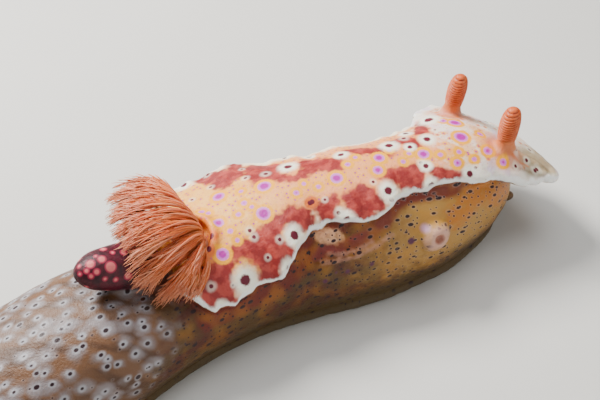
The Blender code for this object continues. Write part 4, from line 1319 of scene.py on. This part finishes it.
def rhinophore_object(side, name):
    """A ridged club: thin slanting leaves round a tapering core."""
    foot, axis = rhinophore_place(side)
    ahead, _ = frame_of(axis, (1, 0, 0))
    rings, marks = [], []
    for share, radius, slant, leaf in club_rings():
        centre = foot + axis * (RHINOPHORE_LENGTH * share)
        ring = ring_round(centre, axis, radius, CLUB_SIDES, hint=(1, 0, 0))
        tilt = [slant * 0.5 * (p - centre).dot(ahead) / max(radius, 0.2) for p in ring]
        rings.append([p + axis * t for p, t in zip(ring, tilt)])
        marks += [(share, leaf, 0.0)] * CLUB_SIDES
    return marked_piece(name, lofted(rings), "club", marks)


def marked_piece(name, shell, attribute, marks):
    """A piece of its own: bent, smooth, and with three numbers kept at each point."""
    piece = mesh_object(name, *shell)
    mesh = piece.data
    add_attribute(mesh, attribute, np.array(marks).T)
    set_places(mesh, bent(places_of(mesh)) * MM)
    mesh.shade_smooth()
    return piece


def rhinophore_material():
    """Orange-brown, with painted shade between the leaves, and paler where they catch the light."""
    paint = Paint("rhinophore_paint")
    share, leaf, _ = paint.parts(paint.attribute("club"))
    place = paint.object_place()
    colour = paint.layered(
        # Painted shade between the leaves.
        paint.mix(paint.ramp(leaf, 0.25, 0.95), CLUB_GROOVE_SHADE, CLUB_COLOUR),
        (0.4 * paint.cloud(place, 1400.0, 3.0, 0.35, 0.7), CLUB_PALE),
        (paint.ramp(share, 0.5, 0.28), STALK_COLOUR))
    paint.bump(paint.noise(place, 2600.0, 3.0), 0.0001)
    return paint.finish(colour, 0.42, CLUB_FLESH)


def horn_distance(point):
    """How far a point is outside the horn, and the way out."""
    root, way = horn_line()
    inner = max(0.0, min(1 - HORN_RADII[1] / way.length, (point - root).dot(way) / way.length_squared))
    away = point - (root + way * inner)
    radius = HORN_RADII[0] + (HORN_RADII[1] - HORN_RADII[0]) * min(inner / 0.5, 1)
    return away.length - radius, away.normalized()


def kept_clear(point, room):
    """The point, moved off the horn and the mantle as far as a filament needs."""
    point = Vector(point)
    if (point.xy - Vector((POCKET_ALONG, 0))).length > POCKET_RADIUS - room:
        side = 1 if point.y > 0 else -1
        if abs(point.y) < float(rim_half(point.x, side)) + room:
            point.z = max(point.z, float(mantle_up(point.x, point.y * 0.98)) + room)
        outside, away = horn_distance(point)
        if outside < room:
            point += (away + Vector((0, 0, 0.4))).normalized() * (room - outside) * 1.1
    return point


def fan_place(share, depth, t):
    """A place on a strand: the share across the fan, the depth under its top, and the way out."""
    table = np.array([[at, *root, *rise, *sweep, *tip] for at, root, rise, sweep, tip in FAN])
    row = [np.interp(share, table[:, 0], table[:, i]) for i in range(1, 13)]
    root, rise, sweep, tip = (Vector(row[i:i + 3]) for i in (0, 3, 6, 9))
    lower = Vector(FAN_DEPTH) * depth
    rise, sweep, tip = rise + lower, sweep + lower, tip + lower * 0.5
    return (root * (1 - t) ** 3 + rise * 3 * t * (1 - t) ** 2
            + sweep * 3 * t * t * (1 - t) + tip * t ** 3)


class Strands:
    """Many tapering, flattened tubes gathered into one mesh, with marks that the shader reads."""

    def __init__(self):
        self.points, self.faces, self.marks = [], [], []

    def add(self, places, radii, sides, start, end, tone, flat=1.0):
        """The marks are the share of the way out, the strand's tone, and 1 along its two edges."""
        rings = []
        for i, place in enumerate(places):
            axis = (places[min(i + 1, len(places) - 1)] - places[max(i - 1, 0)]).normalized()
            hint = axis.cross(Vector((0, 0, 1)))
            first, second = frame_of(axis, hint if hint.length > 0.05 else (0, 1, 0))
            share = start + (end - start) * i / (len(places) - 1)
            ring = []
            for j in range(sides):
                turn = 2 * pi * j / sides
                ring.append(place + first * (radii[i] * cos(turn)) + second * (radii[i] * flat * sin(turn)))
                self.marks.append((share, tone, abs(cos(turn))))
            rings.append(ring)
        points, faces = lofted(rings)
        base = len(self.points)
        self.points += points
        self.faces += [tuple(base + i for i in face) for face in faces]


def add_strand(strands, lock, bend, depth, chance):
    """One long strand of a lock, which leaves its lock towards the end and forks there."""
    share = lock + chance.uniform(-0.012, 0.012)
    stray = bend + chance.uniform(-0.03, 0.03)
    start, end = chance.uniform(0.0, 0.3), chance.uniform(0.8, 1.04)
    tone = chance.random()
    wave, turn = chance.uniform(-0.34, 0.34), chance.uniform(0, 2 * pi)
    path = []
    for s in np.linspace(0, 1, STRAND_STEPS):
        s = float(s)
        place = fan_place(share + stray * s * s, depth + 0.1 * stray, start + (end - start) * s)
        place += Vector((0, wave * sin(7 * s + turn), 0.7 * wave * cos(6 * s + turn))) * min(1, 2 * s)
        path.append(kept_clear(place, 0.3) if s > 0.15 else place)
    sizes = curve_through(STRAND_TAPER, np.linspace(0, 1, STRAND_STEPS))
    strands.add(path, [STRAND_RADIUS * size for size in sizes], 5, start, end, tone, flat=0.6)
    for _ in range(FORKS):
        k = chance.randrange(*FORK_FROM)
        forward = (path[k + 1] - path[k]).normalized()
        out = forward.cross(Vector((chance.uniform(-1, 1), chance.uniform(-1, 1), 0.8))).normalized()
        fork = chance.uniform(*FORK_LENGTH)
        ends = [path[k] + forward * (fork * q) + out * (fork * 0.26 * q * (1.5 - 0.6 * q))
                for q, _ in FORK_SHAPE]
        ends = [ends[0]] + [kept_clear(p, 0.25) for p in ends[1:]]
        reach = start + (end - start) * k / (STRAND_STEPS - 1)
        strands.add(ends, [radius for _, radius in FORK_SHAPE], 4, reach, 1.0, tone, flat=0.7)


def add_stems(strands, low, high):
    """The gill's pale stems, where they belong to the part of the fan from low to high."""
    for i in range(STEMS):
        share = (i + 0.5) / STEMS
        if low <= share < high:
            path = [fan_place(share, -0.02, float(t)) for t in np.linspace(0, 0.9, STRAND_STEPS)]
            path = [kept_clear(p, 0.8) if k > 3 else p for k, p in enumerate(path)]
            strands.add(path, list(np.linspace(*STEM_RADII, STRAND_STEPS)), 8, 0.0, 0.9, 0.8)


def gill_object(side, name):
    """One side of the gill: its stems, the locks of strands that hang from them, and its root."""
    low, high = (0.0, FAN_SPLIT) if side > 0 else (FAN_SPLIT, 1.0)
    chance = Random(GILL_SEEDS[side])
    strands = Strands()
    add_stems(strands, low, high)
    for i in range(LOCKS):
        lock = (i + chance.uniform(0.2, 0.8)) / LOCKS
        depth = LOCK_DEPTHS[i % len(LOCK_DEPTHS)] + chance.uniform(0, 0.12)
        bend = chance.uniform(-0.06, 0.06)
        if low <= lock < high:
            for _ in range(LOCK_STRANDS):
                add_strand(strands, lock, bend, depth + chance.uniform(0, 0.16), chance)
    along, across, up = GILL_ROOT
    centre = Vector((along, side * across, up))
    heights, radii = zip(*GILL_ROOT_SHAPE)
    strands.add([centre + Vector((0, 0, height)) for height in heights], radii, 20, 0.0, 0.0, 0.5)
    return marked_piece(name, (strands.points, strands.faces), "strand", strands.marks)


def gill_material():
    """Orange strands, with a painted glow of light along their thin edges, and paler at their tips and at
    their roots.
    """
    paint = Paint("gill_paint")
    share, tone, edge = paint.parts(paint.attribute("strand"))
    place = paint.object_place()
    # Where light through the strands' thin edges is painted as a glow.
    pale = paint.ramp(edge, 0.72, 1.0) * paint.ramp(share, 0.15, 0.6)
    colour = paint.layered(
        paint.mix(tone, GILL_DEEP, GILL_COLOUR),
        (0.75 * paint.ramp(tone, 0.7, 0.9), GILL_BLUSH),
        (0.5 * paint.cloud(place, 320.0, 3.0, 0.38, 0.66), GILL_PALE),
        # Painted glow of light through the thin edges, then the same pink on the tips.
        (0.8 * pale, GILL_GLOW_PINK),
        (0.5 * paint.ramp(share, 0.8, 1.0), GILL_GLOW_PINK),
        (paint.ramp(share, 0.2, 0.0), GILL_STEM))
    return paint.finish(colour, 0.4, GILL_FLESH)


def floor_object():
    """A plain pale floor, which is stage and not part of the slug."""
    half = FLOOR_HALF
    floor = mesh_object("floor", [(-half, -half, 0), (half, -half, 0), (half, half, 0), (-half, half, 0)],
                        [(0, 1, 2, 3)])
    paint = Paint("floor_paint")
    tint = paint.cloud(paint.object_place(), 14.0, 3.0, 0.3, 0.7)
    colour = paint.mix(0.3 * tint, FLOOR_COLOUR, FLOOR_TINT)
    floor.data.materials.append(paint.finish(colour, 0.85, NO_FLESH, FLOOR_SPECULAR))


def add_lights():
    """Soft round lamps, and a faint even light from all sides."""
    for name, place, size, power, colour in LIGHTS:
        lamp = bpy.data.lights.new(name, "AREA")
        lamp.shape = "DISK"
        lamp.size = size * MM
        lamp.energy = power
        lamp.color = colour
        made = bpy.data.objects.new(name, lamp)
        made.location = Vector(place) * MM
        aim = Vector(VIEW_TARGET) * MM - made.location
        made.rotation_euler = aim.to_track_quat("-Z", "Y").to_euler()
        bpy.context.scene.collection.objects.link(made)
    world = bpy.data.worlds.new("soft_light")
    world.use_nodes = True
    sky = world.node_tree.nodes["Background"]
    sky.inputs["Color"].default_value = (*SKY, 1)
    sky.inputs["Strength"].default_value = SKY_STRENGTH
    bpy.context.scene.world = world


def add_camera():
    """The camera of the photo."""
    azimuth, height = radians(VIEW_AZIMUTH), radians(VIEW_HEIGHT)
    back = Vector((sin(azimuth) * cos(height), -cos(azimuth) * cos(height), sin(height)))
    right = Vector((cos(azimuth), sin(azimuth), 0))
    lens = bpy.data.cameras.new("camera")
    lens.sensor_fit = "HORIZONTAL"
    lens.sensor_width = 36
    lens.angle = radians(VIEW_ANGLE)
    lens.clip_start = 0.002
    camera = bpy.data.objects.new("camera", lens)
    turn = Matrix((right, back.cross(right), back)).transposed()
    place = (Vector(VIEW_TARGET) + back * VIEW_DISTANCE) * MM
    camera.matrix_world = Matrix.Translation(place) @ turn.to_4x4()
    bpy.context.scene.collection.objects.link(camera)
    bpy.context.scene.camera = camera


def main():
    """Dresses the frame, piece by piece, and sets the stage."""
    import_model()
    skin = dress_skin()
    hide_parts("tail_tip", "tail", "trunk_rear", "trunk_front", "head", "foot_tail", "foot_middle",
                "foot_front", "mantle_rear", "mantle_middle", "mantle_front", "horn", "oral_tentacle_left",
                "oral_tentacle_right", "genital_papilla")
    pieces = [skin]
    club_look, gill_look = rhinophore_material(), gill_material()
    for side, node in ((1, "rhinophore_left"), (-1, "rhinophore_right")):
        club = rhinophore_object(side, node.replace("rhinophore", "club"))
        club.data.materials.append(club_look)
        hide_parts(node)
        pieces.append(club)
    for side, node in ((1, "gill_left"), (-1, "gill_right")):
        gill = gill_object(side, node.replace("gill", "plumes"))
        gill.data.materials.append(gill_look)
        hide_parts(node)
        pieces.append(gill)
    for piece in pieces:
        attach(piece, "root")
    floor_object()
    add_lights()
    add_camera()


main()
